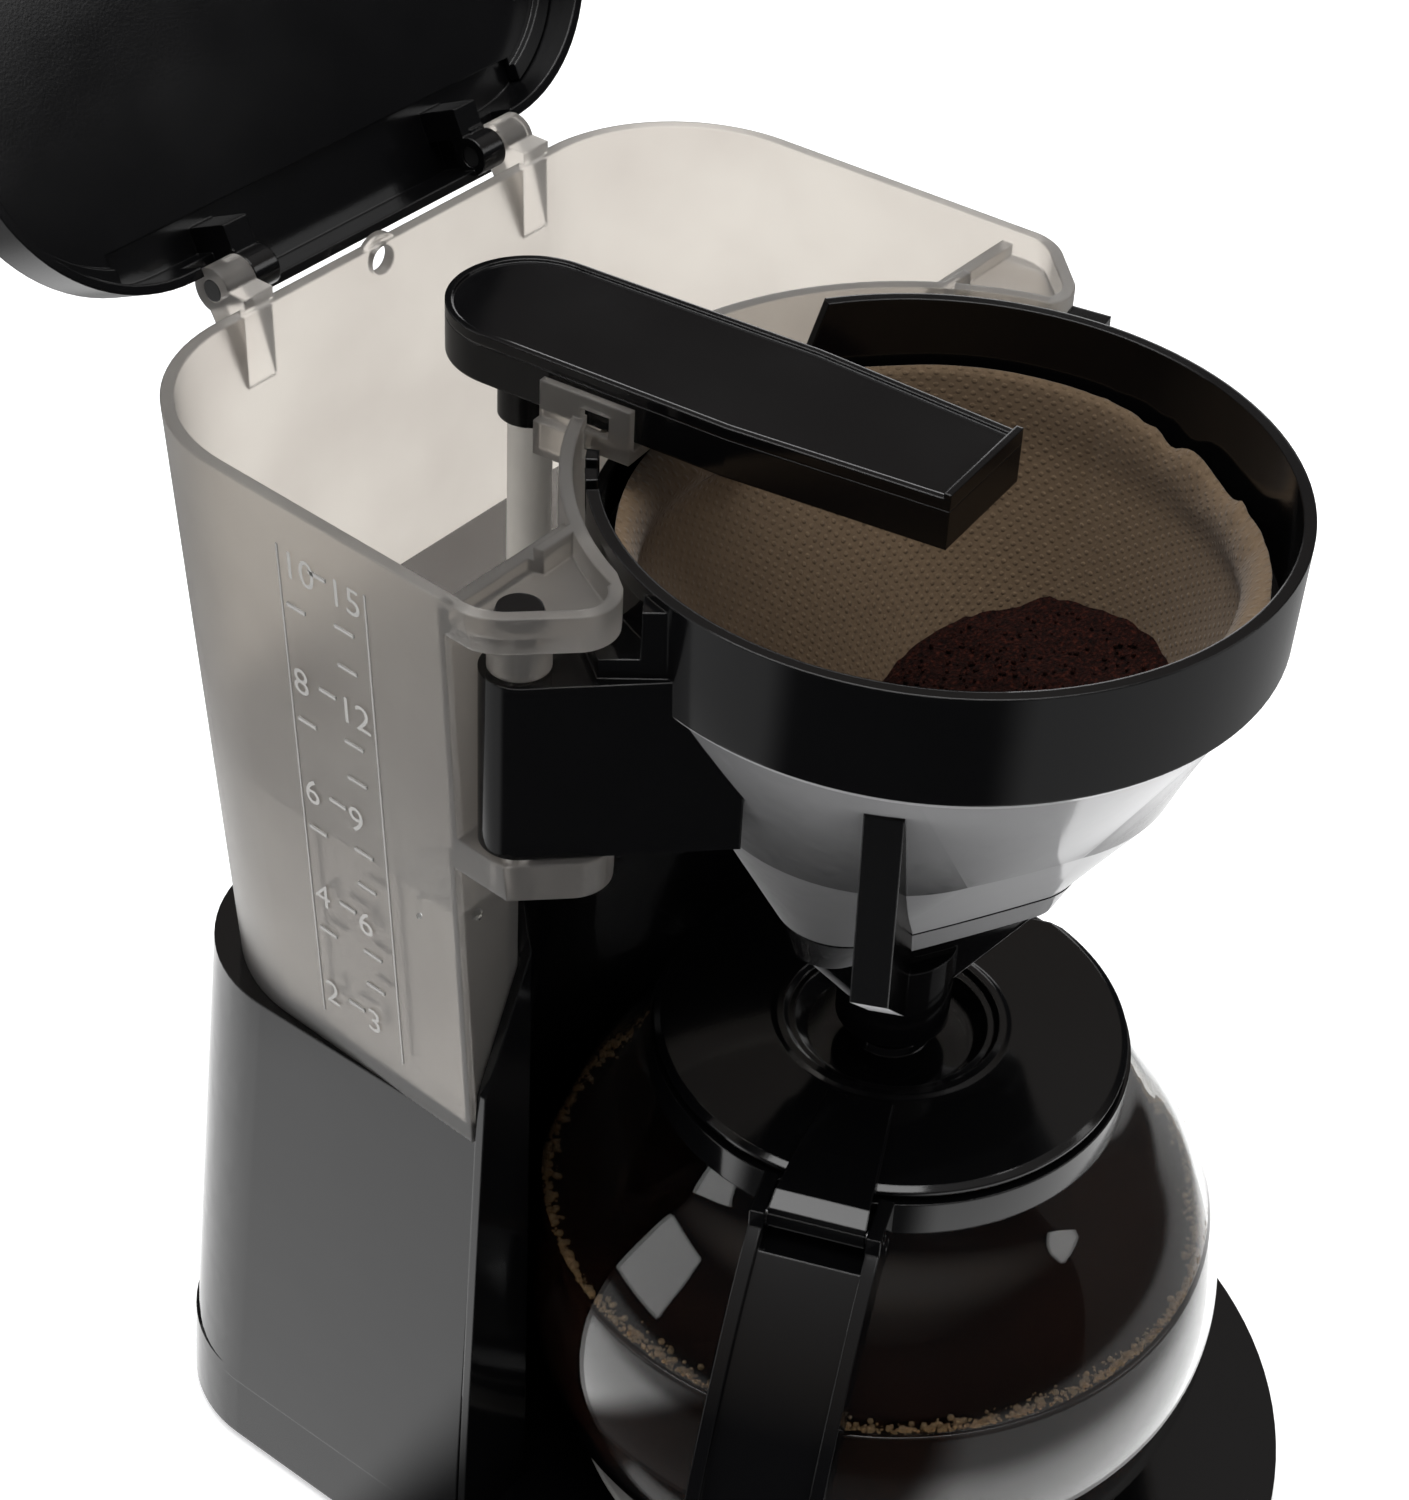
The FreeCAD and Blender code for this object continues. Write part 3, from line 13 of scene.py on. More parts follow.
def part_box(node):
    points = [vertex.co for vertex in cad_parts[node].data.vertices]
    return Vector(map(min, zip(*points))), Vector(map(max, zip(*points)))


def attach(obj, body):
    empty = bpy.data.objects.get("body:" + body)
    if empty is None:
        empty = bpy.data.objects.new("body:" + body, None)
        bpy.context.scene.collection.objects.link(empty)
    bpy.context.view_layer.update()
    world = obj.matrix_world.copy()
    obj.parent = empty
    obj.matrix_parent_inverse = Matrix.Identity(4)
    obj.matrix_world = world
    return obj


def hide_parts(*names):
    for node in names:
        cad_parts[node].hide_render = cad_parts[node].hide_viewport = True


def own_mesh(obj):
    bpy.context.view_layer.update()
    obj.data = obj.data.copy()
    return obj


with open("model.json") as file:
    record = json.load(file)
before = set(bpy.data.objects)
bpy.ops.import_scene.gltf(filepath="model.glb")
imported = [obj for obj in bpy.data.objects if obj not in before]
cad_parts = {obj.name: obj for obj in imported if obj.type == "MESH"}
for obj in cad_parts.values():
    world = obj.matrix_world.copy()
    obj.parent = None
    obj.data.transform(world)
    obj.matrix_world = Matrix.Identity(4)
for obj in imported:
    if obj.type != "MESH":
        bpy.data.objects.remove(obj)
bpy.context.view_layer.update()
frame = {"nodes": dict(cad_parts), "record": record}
NODES = frame["nodes"]
RNG = random.Random(7)

low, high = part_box("warming_plate")
AXIS_X, AXIS_Y = (low.x + high.x) / 2, (low.y + high.y) / 2
RIM_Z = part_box("filter_basket")[1].z * 1000


def at(x, y, z):
    return Vector((AXIS_X + x / 1000, AXIS_Y + y / 1000, z / 1000))


# ---- materials -------------------------------------------------------------------
class Nodes:
    """Short way to write a node tree."""

    def __init__(self, name):
        self.material = bpy.data.materials.new(name)
        self.material.use_nodes = True
        self.tree = self.material.node_tree
        self.shader = self.tree.nodes["Principled BSDF"]
        self.coords = self.tree.nodes.new("ShaderNodeTexCoord")

    def add(self, kind, **values):
        node = self.tree.nodes.new(kind)
        for key, value in values.items():
            if hasattr(node, key):
                setattr(node, key, value)
            else:
                node.inputs[key.replace("_", " ").title()].default_value = value
        return node

    def link(self, source, target):
        self.tree.links.new(source, target)

    def set(self, **values):
        for key, value in values.items():
            self.shader.inputs[key.replace("_", " ").replace("ior", "IOR")].default_value = value

    def noise(self, scale, detail=3.0, source=None, rough=0.5):
        node = self.add("ShaderNodeTexNoise", Scale=scale, Detail=detail, Roughness=rough)
        self.link(source or self.coords.outputs["Object"], node.inputs["Vector"])
        return node.outputs["Fac"]

    def ramp(self, source, stops, target):
        node = self.tree.nodes.new("ShaderNodeValToRGB")
        elements = node.color_ramp.elements
        for i, (position, colour) in enumerate(stops):
            element = elements[i] if i < 2 else elements.new(position)
            element.position = position
            element.color = (*colour, 1) if isinstance(colour, tuple) else (colour,) * 3 + (1,)
        self.link(source, node.inputs["Fac"])
        self.link(node.outputs["Color"], target)

    def bump(self, height, strength, distance=0.001, normal=None):
        node = self.add("ShaderNodeBump", Strength=strength, Distance=distance)
        self.link(height, node.inputs["Height"])
        if normal is not None:
            self.link(normal, node.inputs["Normal"])
        return node.outputs["Normal"]

    def edge(self, radius):
        node = self.add("ShaderNodeBevel", samples=6, Radius=radius)
        return node.outputs["Normal"]


def plastic(name, colour, rough, spread=0.05, grain=0.02, grain_scale=1400.0, edge=0.0006, coat=0.0):
    """Moulded plastic: slight waviness, fine grain, uneven gloss and rounded edges."""
    n = Nodes(name)
    n.ramp(n.noise(38.0, 4.0), [(0.3, tuple(c * 0.85 for c in colour)), (0.7, colour)],
           n.shader.inputs["Base Color"])
    n.ramp(n.noise(22.0, 5.0), [(0.3, rough - spread), (0.7, rough + spread)],
           n.shader.inputs["Roughness"])
    wave = n.bump(n.noise(55.0, 1.0), 0.06, 0.001, n.edge(edge))
    n.link(n.bump(n.noise(grain_scale, 2.0), grain, 0.0004, wave), n.shader.inputs["Normal"])
    n.set(Coat_Weight=coat, Coat_Roughness=0.04)
    return n.material


def metal(name, colour, rough, brushed=0.0):
    n = Nodes(name)
    n.set(Metallic=1.0)
    stretch = n.add("ShaderNodeMapping")
    stretch.inputs["Scale"].default_value = (1, 1, 30 if brushed else 1)
    n.link(n.coords.outputs["Object"], stretch.inputs["Vector"])
    fine = n.noise(500.0, 4.0, stretch.outputs["Vector"])
    n.ramp(fine, [(0.3, tuple(c * 0.8 for c in colour)), (0.7, colour)], n.shader.inputs["Base Color"])
    n.ramp(fine, [(0.3, rough - 0.08), (0.7, rough + 0.1)], n.shader.inputs["Roughness"])
    n.link(n.bump(fine, 0.15, 0.0002, n.edge(0.0003)), n.shader.inputs["Normal"])
    return n.material


def frosted():
    """Smoky translucent plastic, a little darker along its edges."""
    n = Nodes("frosted_tank_plastic")
    n.ramp(n.noise(30.0, 3.0), [(0.3, (0.56, 0.53, 0.50)), (0.7, (0.64, 0.615, 0.58))],
           n.shader.inputs["Base Color"])
    n.ramp(n.noise(26.0, 4.0), [(0.3, 0.30), (0.7, 0.36)], n.shader.inputs["Roughness"])
    n.link(n.bump(n.noise(70.0, 1.0), 0.03, 0.001, n.edge(0.0009)), n.shader.inputs["Normal"])
    n.set(Transmission_Weight=0.92, ior=1.35)
    return n.material


def holder_painted_sheen_plastic():
    """Glossy black, with a painted reflection: a pale sheen laid only on faces that look down, standing in
    for the worktop mirrored in them at a low angle.
    """
    material = plastic("black_holder_painted_sheen_plastic", BLACK, 0.10, 0.03, 0.01)
    tree = material.node_tree
    geometry = tree.nodes.new("ShaderNodeNewGeometry")
    split = tree.nodes.new("ShaderNodeSeparateXYZ")
    # painted reflection: the sheen weight grows as a face looks further down
    painted_sheen_mask = tree.nodes.new("ShaderNodeMapRange")
    painted_sheen_mask.interpolation_type = "SMOOTHSTEP"
    for key, value in (("From Min", -0.36), ("From Max", -0.50), ("To Min", 0.0), ("To Max", 0.9)):
        painted_sheen_mask.inputs[key].default_value = value
    tree.links.new(geometry.outputs["Normal"], split.inputs["Vector"])
    tree.links.new(split.outputs["Z"], painted_sheen_mask.inputs["Value"])
    tree.links.new(painted_sheen_mask.outputs["Result"], tree.nodes["Principled BSDF"].inputs["Sheen Weight"])
    tree.nodes["Principled BSDF"].inputs["Sheen Roughness"].default_value = 0.45
    return material


def clear_glass():
    n = Nodes("jug_glass")
    n.ramp(n.noise(14.0, 2.0), [(0.3, (0.955, 0.965, 0.96)), (0.7, (0.985, 0.99, 0.985))],
           n.shader.inputs["Base Color"])
    n.link(n.bump(n.noise(30.0, 1.0), 0.02, 0.001), n.shader.inputs["Normal"])
    n.set(Transmission_Weight=1.0, ior=1.47, Roughness=0.0)
    return n.material


def liquid(name, shallow, deep, transmission, ior=1.33):
    n = Nodes(name)
    n.ramp(n.noise(24.0, 2.0), [(0.3, deep), (0.7, shallow)], n.shader.inputs["Base Color"])
    n.link(n.bump(n.noise(90.0, 1.0), 0.03, 0.001), n.shader.inputs["Normal"])
    n.set(Transmission_Weight=transmission, ior=ior, Roughness=0.02)
    return n.material


def kraft_paper():
    """Brown filter paper with staggered embossed dots, drawn on the unrolled cone."""
    n = Nodes("kraft_filter_paper")
    fibres = n.noise(700.0, 8.0, rough=0.7)
    n.ramp(fibres, [(0.25, (0.095, 0.058, 0.027)), (0.75, (0.16, 0.104, 0.054))],
           n.shader.inputs["Base Color"])
    cells = n.add("ShaderNodeTexVoronoi", Scale=1.0, Randomness=0.0)
    turn = n.add("ShaderNodeMapping")
    turn.inputs["Rotation"].default_value = (0, 0, math.radians(45))
    turn.inputs["Scale"].default_value = (0.52, 0.52, 1)
    n.link(n.coords.outputs["UV"], turn.inputs["Vector"])
    n.link(turn.outputs["Vector"], cells.inputs["Vector"])
    dots = n.add("ShaderNodeMapRange", interpolation_type="SMOOTHSTEP")
    dots.inputs["From Min"].default_value = 0.34
    dots.inputs["From Max"].default_value = 0.10
    n.link(cells.outputs["Distance"], dots.inputs["Value"])
    grain = n.bump(fibres, 0.5, 0.0003)
    n.link(n.bump(dots.outputs["Result"], 0.55, 0.0004, grain), n.shader.inputs["Normal"])
    n.set(Roughness=0.85, Sheen_Weight=0.15, Sheen_Roughness=0.6)
    return n.material


def ground_coffee():
    n = Nodes("ground_coffee")
    n.ramp(n.noise(1100.0, 5.0), [(0.32, (0.003, 0.0008, 0.0005)), (0.55, (0.016, 0.0035, 0.002)),
                                  (0.8, (0.060, 0.013, 0.007))], n.shader.inputs["Base Color"])
    n.link(n.bump(n.noise(1300.0, 4.0), 1.0, 0.0012), n.shader.inputs["Normal"])
    n.set(Roughness=0.9)
    n.shader.inputs["Specular IOR Level"].default_value = 0.12
    return n.material


BLACK = (0.0028, 0.0028, 0.0031)
M = {
    "black_gloss": plastic("black_gloss_plastic", BLACK, 0.10, 0.03, 0.01),
    "black_lid": plastic("black_lid_plastic", BLACK, 0.16, 0.03, 0.03),
    "black_holder": holder_painted_sheen_plastic(),
    "numerals": plastic("raised_numerals", (0.42, 0.41, 0.39), 0.35, 0.05, 0.02),
    "black_satin": plastic("black_satin_plastic", (0.015, 0.015, 0.015), 0.42, 0.06, 0.12),
    "frosted_tank": frosted(),
    "rubber": plastic("black_rubber", (0.018, 0.018, 0.018), 0.72, 0.08, 0.2, 900.0),
    "silicone": plastic("white_silicone", (0.62, 0.61, 0.57), 0.5, 0.06, 0.05),
    "steel": metal("brushed_steel", (0.62, 0.62, 0.62), 0.32, 1.0),
    "coated_steel": plastic("coated_plate", (0.012, 0.012, 0.012), 0.38, 0.05, 0.25, 2600.0),
    "aluminium": metal("cast_aluminium", (0.68, 0.68, 0.69), 0.45),
    "glass": clear_glass(),
    "paper": kraft_paper(),
    "white_plastic": plastic("white_tube_plastic", (0.78, 0.77, 0.74), 0.38, 0.06, 0.04),
    "water": liquid("tank_water", (0.80, 0.82, 0.84), (0.74, 0.76, 0.78), 1.0),
    "coffee": liquid("brewed_coffee", (0.012, 0.005, 0.003), (0.006, 0.003, 0.002), 0.0),
    "foam": liquid("coffee_bubbles", (0.72, 0.52, 0.30), (0.55, 0.36, 0.18), 0.75),
    "grounds": ground_coffee(),
}
SLOT_OF = {part["node"]: part["material_slot"] for part in frame["record"]["subparts"]}
for name, node in NODES.items():
    node.data.materials.clear()
    node.data.materials.append(M[SLOT_OF[name]])
for name in ("lid_shell", "lid_liner"):
    NODES[name].data.materials[0] = M["black_lid"]
NODES["filter_basket"].data.materials[0] = M["black_holder"]


# ---- mesh helpers ----------------------------------------------------------------
def mesh_piece(name, points, faces, material, body, replaces=(), smooth=True):
    """Points in millimetres from the axis, as one piece riding on a body."""
    mesh = bpy.data.meshes.new(name)
    mesh.from_pydata([at(*p) for p in points], [], faces)
    mesh.validate()
    mesh.polygons.foreach_set("use_smooth", [smooth] * len(mesh.polygons))
    piece = bpy.data.objects.new(name, mesh)
    bpy.context.scene.collection.objects.link(piece)
    mesh.materials.append(M[material])
    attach(piece, body)
    if replaces:
        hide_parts(*replaces)
    return piece


def stack(rings, cap_low=True, cap_high=True, closed=True):
    """Points and faces of rings of equal length stacked on each other."""
    count = len(rings[0])
    points = [p for ring in rings for p in ring]
    faces = []
    last = count if closed else count - 1
    for r in range(len(rings) - 1):
        for i in range(last):
            j = (i + 1) % count
            a, b = r * count, (r + 1) * count
            faces.append((a + i, a + j, b + j, b + i))
    if cap_low:
        faces.append(tuple(range(count))[::-1])
    if cap_high:
        faces.append(tuple(range(len(points) - count, len(points))))
    return points, faces


def lathe(profile, segments=160, x=0.0, y=0.0):
    """Surface of revolution from (radius, height); closed if it starts and ends on the axis."""
    rings = []
    for r, z in profile:
        rings.append([(x + r * math.cos(2 * math.pi * i / segments),
                       y + r * math.sin(2 * math.pi * i / segments), z) for i in range(segments)])
    return rings


def spline(points, steps):
    """Catmull-Rom curve through (a, b) points."""
    out = []
    ends = [points[0]] + list(points) + [points[-1]]
    for p0, p1, p2, p3 in zip(ends, ends[1:], ends[2:], ends[3:]):
        for k in range(steps):
            t = k / steps
            out.append(tuple(0.5 * (2 * b + (c - a) * t + (2 * a - 5 * b + 4 * c - d) * t * t
                                    + (3 * b - a - 3 * c + d) * t ** 3)
                             for a, b, c, d in zip(p0, p1, p2, p3)))
    return out + [points[-1]]


def mix(a, b, t):
    return a + (b - a) * t


def smoothstep(a, b, x):
    t = min(max((x - a) / (b - a), 0.0), 1.0)
    return t * t * (3 - 2 * t)


# ---- jug: glass, coffee and foam --------------------------------------------------
GLASS = [(52, 26.2), (60.5, 28.6), (72.5, 38.5), (81.0, 54), (84.5, 74), (82.4, 93),
         (75.6, 110), (65.4, 124), (57.2, 132.4), (52.6, 138.6)]
outer = spline(GLASS, 6)


def wall(points, depth):
    """The profile moved in by a depth."""
    out = []
    for i, (r, z) in enumerate(points):
        (r0, z0), (r1, z1) = points[max(i - 1, 0)], points[min(i + 1, len(points) - 1)]
        size = math.hypot(r1 - r0, z1 - z0)
        out.append((r - depth * (z1 - z0) / size, z + depth * (r1 - r0) / size))
    return out


inner = [p for p in wall(outer, 2.0) if p[0] > 51.0 or p[1] > 100]
base_below = [(0.01, 26.2), (20, 26.2), (40, 26.2)]
lip = [(52.6, 143), (52.6, 148.9), (52.3, 149.6), (51.6, 149.9), (50.9, 149.6), (50.6, 148.9), (50.6, 143)]
base_above = [(50.5, 28.5), (40, 28.4), (20, 28.4), (0.01, 28.4)]
glass_profile = base_below + outer + lip + inner[::-1] + base_above
points, faces = stack(lathe(glass_profile, 192))
mesh_piece("jug_glass", points, faces, "glass", "jug", ["glass_jug"])

COFFEE_Z = 100.0
coffee_side = [p for p in wall(outer, 2.06) if p[0] > 51 and p[1] < COFFEE_Z - 0.5]
edge_r = coffee_side[-1][0] - 0.5
coffee_profile = ([(0.01, 28.6), (30, 28.6), (50, 28.7)] + coffee_side
                  + [(edge_r, COFFEE_Z + 0.6), (edge_r - 1.2, COFFEE_Z + 0.1), (edge_r - 3, COFFEE_Z),
                     (50, COFFEE_Z), (25, COFFEE_Z), (0.01, COFFEE_Z)])
points, faces = stack(lathe(coffee_profile, 160))
mesh_piece("brewed_coffee", points, faces, "coffee", "jug")


def bubbles(name, spots, material, body):
    """Many small round grains or bubbles as one piece."""
    ball = bmesh.new()
    bmesh.ops.create_icosphere(ball, subdivisions=1, radius=1.0)
    shape = [v.co.copy() for v in ball.verts]
    sides = [[v.index for v in face.verts] for face in ball.faces]
    ball.free()
    points, faces = [], []
    for (x, y, z), r in spots:
        start = len(points)
        points += [(x + r * p.x, y + r * p.y, z + r * p.z) for p in shape]
        faces += [tuple(i + start for i in side) for side in sides]
    return mesh_piece(name, points, faces, material, body)


spots = []
for _ in range(3400):
    angle = RNG.uniform(0, 2 * math.pi)
    size = min(0.2 + RNG.expovariate(4.5), 0.95)
    band = 3.0 + 2.6 * noise.noise(Vector((math.cos(angle) * 2, math.sin(angle) * 2, 0.3)))
    depth = abs(RNG.gauss(0, 0.45)) * band
    r = edge_r - size - 0.15 - depth
    spots.append(((r * math.cos(angle), r * math.sin(angle), COFFEE_Z + size * 0.35
                   + RNG.uniform(0, 1.0) * max(0.0, 1.6 - depth)), size))
bubbles("coffee_foam", spots, "foam", "jug")

# ---- water in the tank --------------------------------------------------------------
WATER_Z = 214.0
TANK_FLOOR_Z, TANK_RISE = 148.0, 151.0
TANK_MIDDLE = -1.5                # the tank stands a little to the left of the jug
TANK_HALF = (87.4, 96.9)          # half width at the floor and at the rim, at SIDE_Y
TANK_REAR = (145.5, 149.8)        # place of the rear wall at the floor and at the rim
TANK_SIDE_Y, SIDE_TAPER = 54.0, 0.055
TANK_CORNER_R, TANK_FRONT, TANK_HOLLOW_R = 40.0, 48.2, 89.0
WATER_GAP = 3.1                   # wall of the tank, with a little air


def tank_ring(z, gap):
    """Inside of the lower tank at a height: hollow front, straight sides, round rear corners."""
    t = (z - TANK_FLOOR_Z) / TANK_RISE
    half, rear, r = mix(*TANK_HALF, t) - gap, mix(*TANK_REAR, t) - gap, TANK_CORNER_R - gap
    front, hollow = TANK_FRONT + gap, TANK_HOLLOW_R + gap
    cx, cy = half - SIDE_TAPER * (rear - r - TANK_SIDE_Y) - r * 1.0015, rear - r
    ring = [(TANK_MIDDLE - half + SIDE_TAPER * (front - TANK_SIDE_Y), front)]
    ring += [(TANK_MIDDLE - cx + r * math.cos(a), cy + r * math.sin(a))
             for a in (mix(math.pi - SIDE_TAPER, math.pi / 2, k / 14) for k in range(15))]
    ring += [(TANK_MIDDLE + cx + r * math.cos(a), cy + r * math.sin(a))
             for a in (mix(math.pi / 2, SIDE_TAPER, k / 14) for k in range(15))]
    ring += [(TANK_MIDDLE + half - SIDE_TAPER * (front - TANK_SIDE_Y), front)]
    start = math.acos(math.sqrt(hollow ** 2 - front ** 2) / hollow)
    ring += [(hollow * math.cos(a), hollow * math.sin(a))
             for a in (mix(start, math.pi - start, k / 30) for k in range(31))]
    return [(x, y, z) for x, y in ring]


points, faces = stack([tank_ring(z, WATER_GAP) for z in (151.2, 160, 175, 190, 205, WATER_Z)])
mesh_piece("tank_water", points, faces, "water", "machine", smooth=False)
spots = []
for _ in range(110):
    angle, reach = RNG.uniform(math.radians(60), math.radians(152)), RNG.uniform(96, 112)
    size = min(0.5 + RNG.expovariate(2.2), 1.6)
    spots.append(((reach * math.cos(angle), reach * math.sin(angle), WATER_Z - size * 0.2), size))
bubbles("water_bubbles", spots, "water", "machine")


# ---- spring of the drip valve: a coil with flat ends ------
SPRING_LOW, SPRING_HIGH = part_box("valve_spring")


def coil_spring(turns=5.5, steps=40, sides=10, wire=0.38):
    radius = (SPRING_HIGH.x - SPRING_LOW.x) * 500 - wire - 0.1
    z0, z1 = SPRING_LOW.z * 1000 + wire + 0.05, SPRING_HIGH.z * 1000 - wire - 0.05
    rings = []
    count = int(turns * steps)
    for i in range(count + 1):
        k = i / count
        angle = 2 * math.pi * turns * k
        z = mix(z0, z1, smoothstep(0.08, 0.92, k) * 0.35 + k * 0.65)
        out = Vector((math.cos(angle), math.sin(angle), 0.0))
        around = [2 * math.pi * j / sides for j in range(sides)]
        rings.append([(radius * out.x + wire * math.cos(b) * out.x,
                       radius * out.y + wire * math.cos(b) * out.y,
                       z + wire * math.sin(b)) for b in around])
    points, faces = stack(rings)
    return mesh_piece("valve_spring_coil", points, faces, "steel", "filter_holder",
                      ["valve_spring"])


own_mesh(coil_spring())


# ---- level scale on the tank's left wall -----------------------------------------------
SCALE_STEP = 29.8                 # height between two pairs of numerals
NUMERALS = (("2", "3"), ("4", "6"), ("6", "9"), ("8", "12"), ("10", "15"))
RELIEF = 0.35


def wall_point(y, z, proud):
    """Point on the outside of the left wall."""
    half = mix(*TANK_HALF, (z - TANK_FLOOR_Z) / TANK_RISE)
    return TANK_MIDDLE - half + SIDE_TAPER * (y - TANK_SIDE_Y) - proud, y, z


def raised_strip(y0, y1, z0, z1, proud=RELIEF):
    """Flat strip lying on the wall, as points and faces of a thin block."""
    corners = [(y0, z0), (y1, z0), (y1, z1), (y0, z1)]
    return stack([[wall_point(y, z, d) for y, z in corners] for d in (-0.2, proud)])


def flat_text(text, size):
    """Points and faces of a word, from the built-in font."""
    curve = bpy.data.curves.new("numeral", "FONT")
    curve.body = text
    curve.size = size
    curve.resolution_u = 4
    writer = bpy.data.objects.new("numeral", curve)
    bpy.context.scene.collection.objects.link(writer)
    bpy.context.view_layer.update()
    flat = bpy.data.meshes.new_from_object(writer)
    points = [(v.co.x, v.co.y) for v in flat.vertices]
    faces = [tuple(polygon.vertices) for polygon in flat.polygons]
    bpy.data.objects.remove(writer)
    bpy.data.meshes.remove(flat)
    bpy.data.curves.remove(curve)
    return points, faces


def level_scale():
    points, faces = [], []

    def put(block):
        start = len(points)
        points.extend(block[0])
        faces.extend(tuple(i + start for i in face) for face in block[1])

    for k in range(len(NUMERALS)):
        z = 167.4 + SCALE_STEP * k
        put(raised_strip(80.0, 84.9, z - 0.45, z + 0.45))
        if k == len(NUMERALS) - 1:
            break
        put(raised_strip(87.0, 92.3, z + 17.5, z + 18.4))
        for part in (1, 2):
            put(raised_strip(72.9, 78.4, z + 9.9 * part - 0.4, z + 9.9 * part + 0.4))
    for y in (68.7, 93.6):
        put(raised_strip(y, y + 0.5, 158.5, 289.0, 0.2))
    for k, (left, right) in enumerate(NUMERALS):
        z = 163.0 + SCALE_STEP * k
        for text, y in ((left, 92.6), (right, 79.4)):
            letters, sides = flat_text(text, 9.6)
            put(([wall_point(y - across, z + rise, RELIEF) for across, rise in letters], sides))
    mesh_piece("level_scale", points, faces, "numerals", "machine", smooth=False)


level_scale()

# ---- paper filter ---------------------------------------------------------------------
WEDGE = math.radians(-28.0)
WEDGE_SHIFT = 5.0                 # middle of the wedge, off the axis
cad_paper = NODES["filter_paper"]
PAPER = BVHTree.FromPolygons([cad_paper.matrix_world @ v.co for v in cad_paper.data.vertices],
                             [tuple(f.vertices) for f in cad_paper.data.polygons])


def inside(z, inset, angle):
    """Point on the CAD paper's inner face at a height, moved inwards by the inset."""
    x, y = WEDGE_SHIFT * math.cos(WEDGE), WEDGE_SHIFT * math.sin(WEDGE)
    turn = Vector((math.cos(angle), math.sin(angle), 0.0))
    hit = PAPER.ray_cast(at(x, y, min(max(z, 188.5), 284.0)), turn)
    reach = (hit[3] * 1000 if hit[0] else 64.0) - inset
    return x + reach * turn.x, y + reach * turn.y


def paper():
    count = 240
    toe, shoulder = [187.6, 190, 193, 196], [266, 270, 274, 278, 281.5, 284]
    levels = toe + [196 + 6.6 * k for k in range(1, 11)] + shoulder
    rings = []
    for z in levels:
        out = []
        for i in range(count):
            x, y = inside(z, 0.1, 2 * math.pi * i / count)
            degrees = math.degrees(math.atan2(y, x)) % 360
            lift = 0.0
            if z > 262:
                ragged = smoothstep(262, 284, z)
                torn = smoothstep(300, 320, degrees) * (1 - smoothstep(352, 358, degrees))
                lift = ragged * (1.1 * noise.noise(Vector((x * 0.05, y * 0.05, 1.0)))
                                 - torn * 3.6 * (0.5 + noise.noise(Vector((x * 0.16, y * 0.16, 5.0)))))
            fold = math.exp(-((degrees - 3.7) / 1.2) ** 2) * 0.5
            wave = 0.35 * noise.noise(Vector((x * 0.03, y * 0.03, z * 0.02))) - 0.35
            k = 1 + (fold + wave) / max(math.hypot(x, y), 8.0)
            out.append((x * k, y * k, z + lift))
        rings.append(out)
    points, faces = stack(rings, cap_low=True, cap_high=False)
    piece = mesh_piece("kraft_paper_filter", points, faces, "paper", "filter_holder",
                       ["filter_paper"])
    layer = piece.data.uv_layers.new(name="unrolled")
    length = 0.0
    lengths = [0.0]
    for a, b in zip(rings, rings[1:]):
        length += (Vector(b[0]) - Vector(a[0])).length
        lengths.append(length)
    for polygon in piece.data.polygons:
        wrap = any(piece.data.loops[i].vertex_index % count == count - 1 for i in polygon.loop_indices)
        for i in polygon.loop_indices:
            v = piece.data.loops[i].vertex_index
            column, row = v % count, v // count
            if wrap and column == 0:
                column = count
            layer.data[i].uv = (column / count * 330.0, lengths[row])
    solid = piece.modifiers.new("thickness", "SOLIDIFY")
    solid.thickness = 0.00035
    solid.offset = -1


paper()

# ---- ground coffee -----------------------------------------------------------------------
def heap_height(x, y):
    """Sloping surface of the coffee, higher to the right and the front, and uneven."""
    base = 216.5 + 0.40 * x - 0.147 * y
    mound = 5.5 * math.exp(-((x - 20) ** 2 + (y + 8) ** 2) / 900.0)
    lumps = 1.6 * noise.noise(Vector((x * 0.11, y * 0.11, 2.0)))
    crumbs = 0.8 * noise.noise(Vector((x * 0.35, y * 0.35, 7.0)))
    return max(base, 197.0) + mound + (lumps + crumbs)


def coffee_bed():
    count, rows = 150, 34
    points = []
    for row in range(rows + 1):
        k = row / rows
        for i in range(count):
            angle = 2 * math.pi * i / count
            z = 212.0
            for _ in range(7):
                ex, ey = inside(z, 1.0, angle)
                z = mix(z, heap_height(ex * k, ey * k), 0.6)
            ex, ey = inside(z, 1.0, angle)
            x, y = ex * k, ey * k
            points.append((x, y, z + 0.5 * noise.noise(Vector((x * 0.9, y * 0.9, 3.0)))))
    faces = []
    for row in range(rows):
        for i in range(count):
            j = (i + 1) % count
            a, b = row * count, (row + 1) * count
            faces.append((a + i, b + i, b + j, a + j))
    mesh_piece("coffee_bed", points, faces, "grounds", "filter_holder")
    grains = []
    for _ in range(900):
        angle, k = RNG.uniform(0, 2 * math.pi), math.sqrt(RNG.random()) * 0.97
        z = 212.0
        for _ in range(5):
            ex, ey = inside(z, 3.0, angle)
            z = mix(z, heap_height(ex, ey), 0.6)
        x, y = ex * k, ey * k
        grains.append(((x, y, heap_height(x, y) + 0.3), RNG.uniform(0.25, 0.75)))
    bubbles("coffee_grains", grains, "grounds", "filter_holder")


coffee_bed()

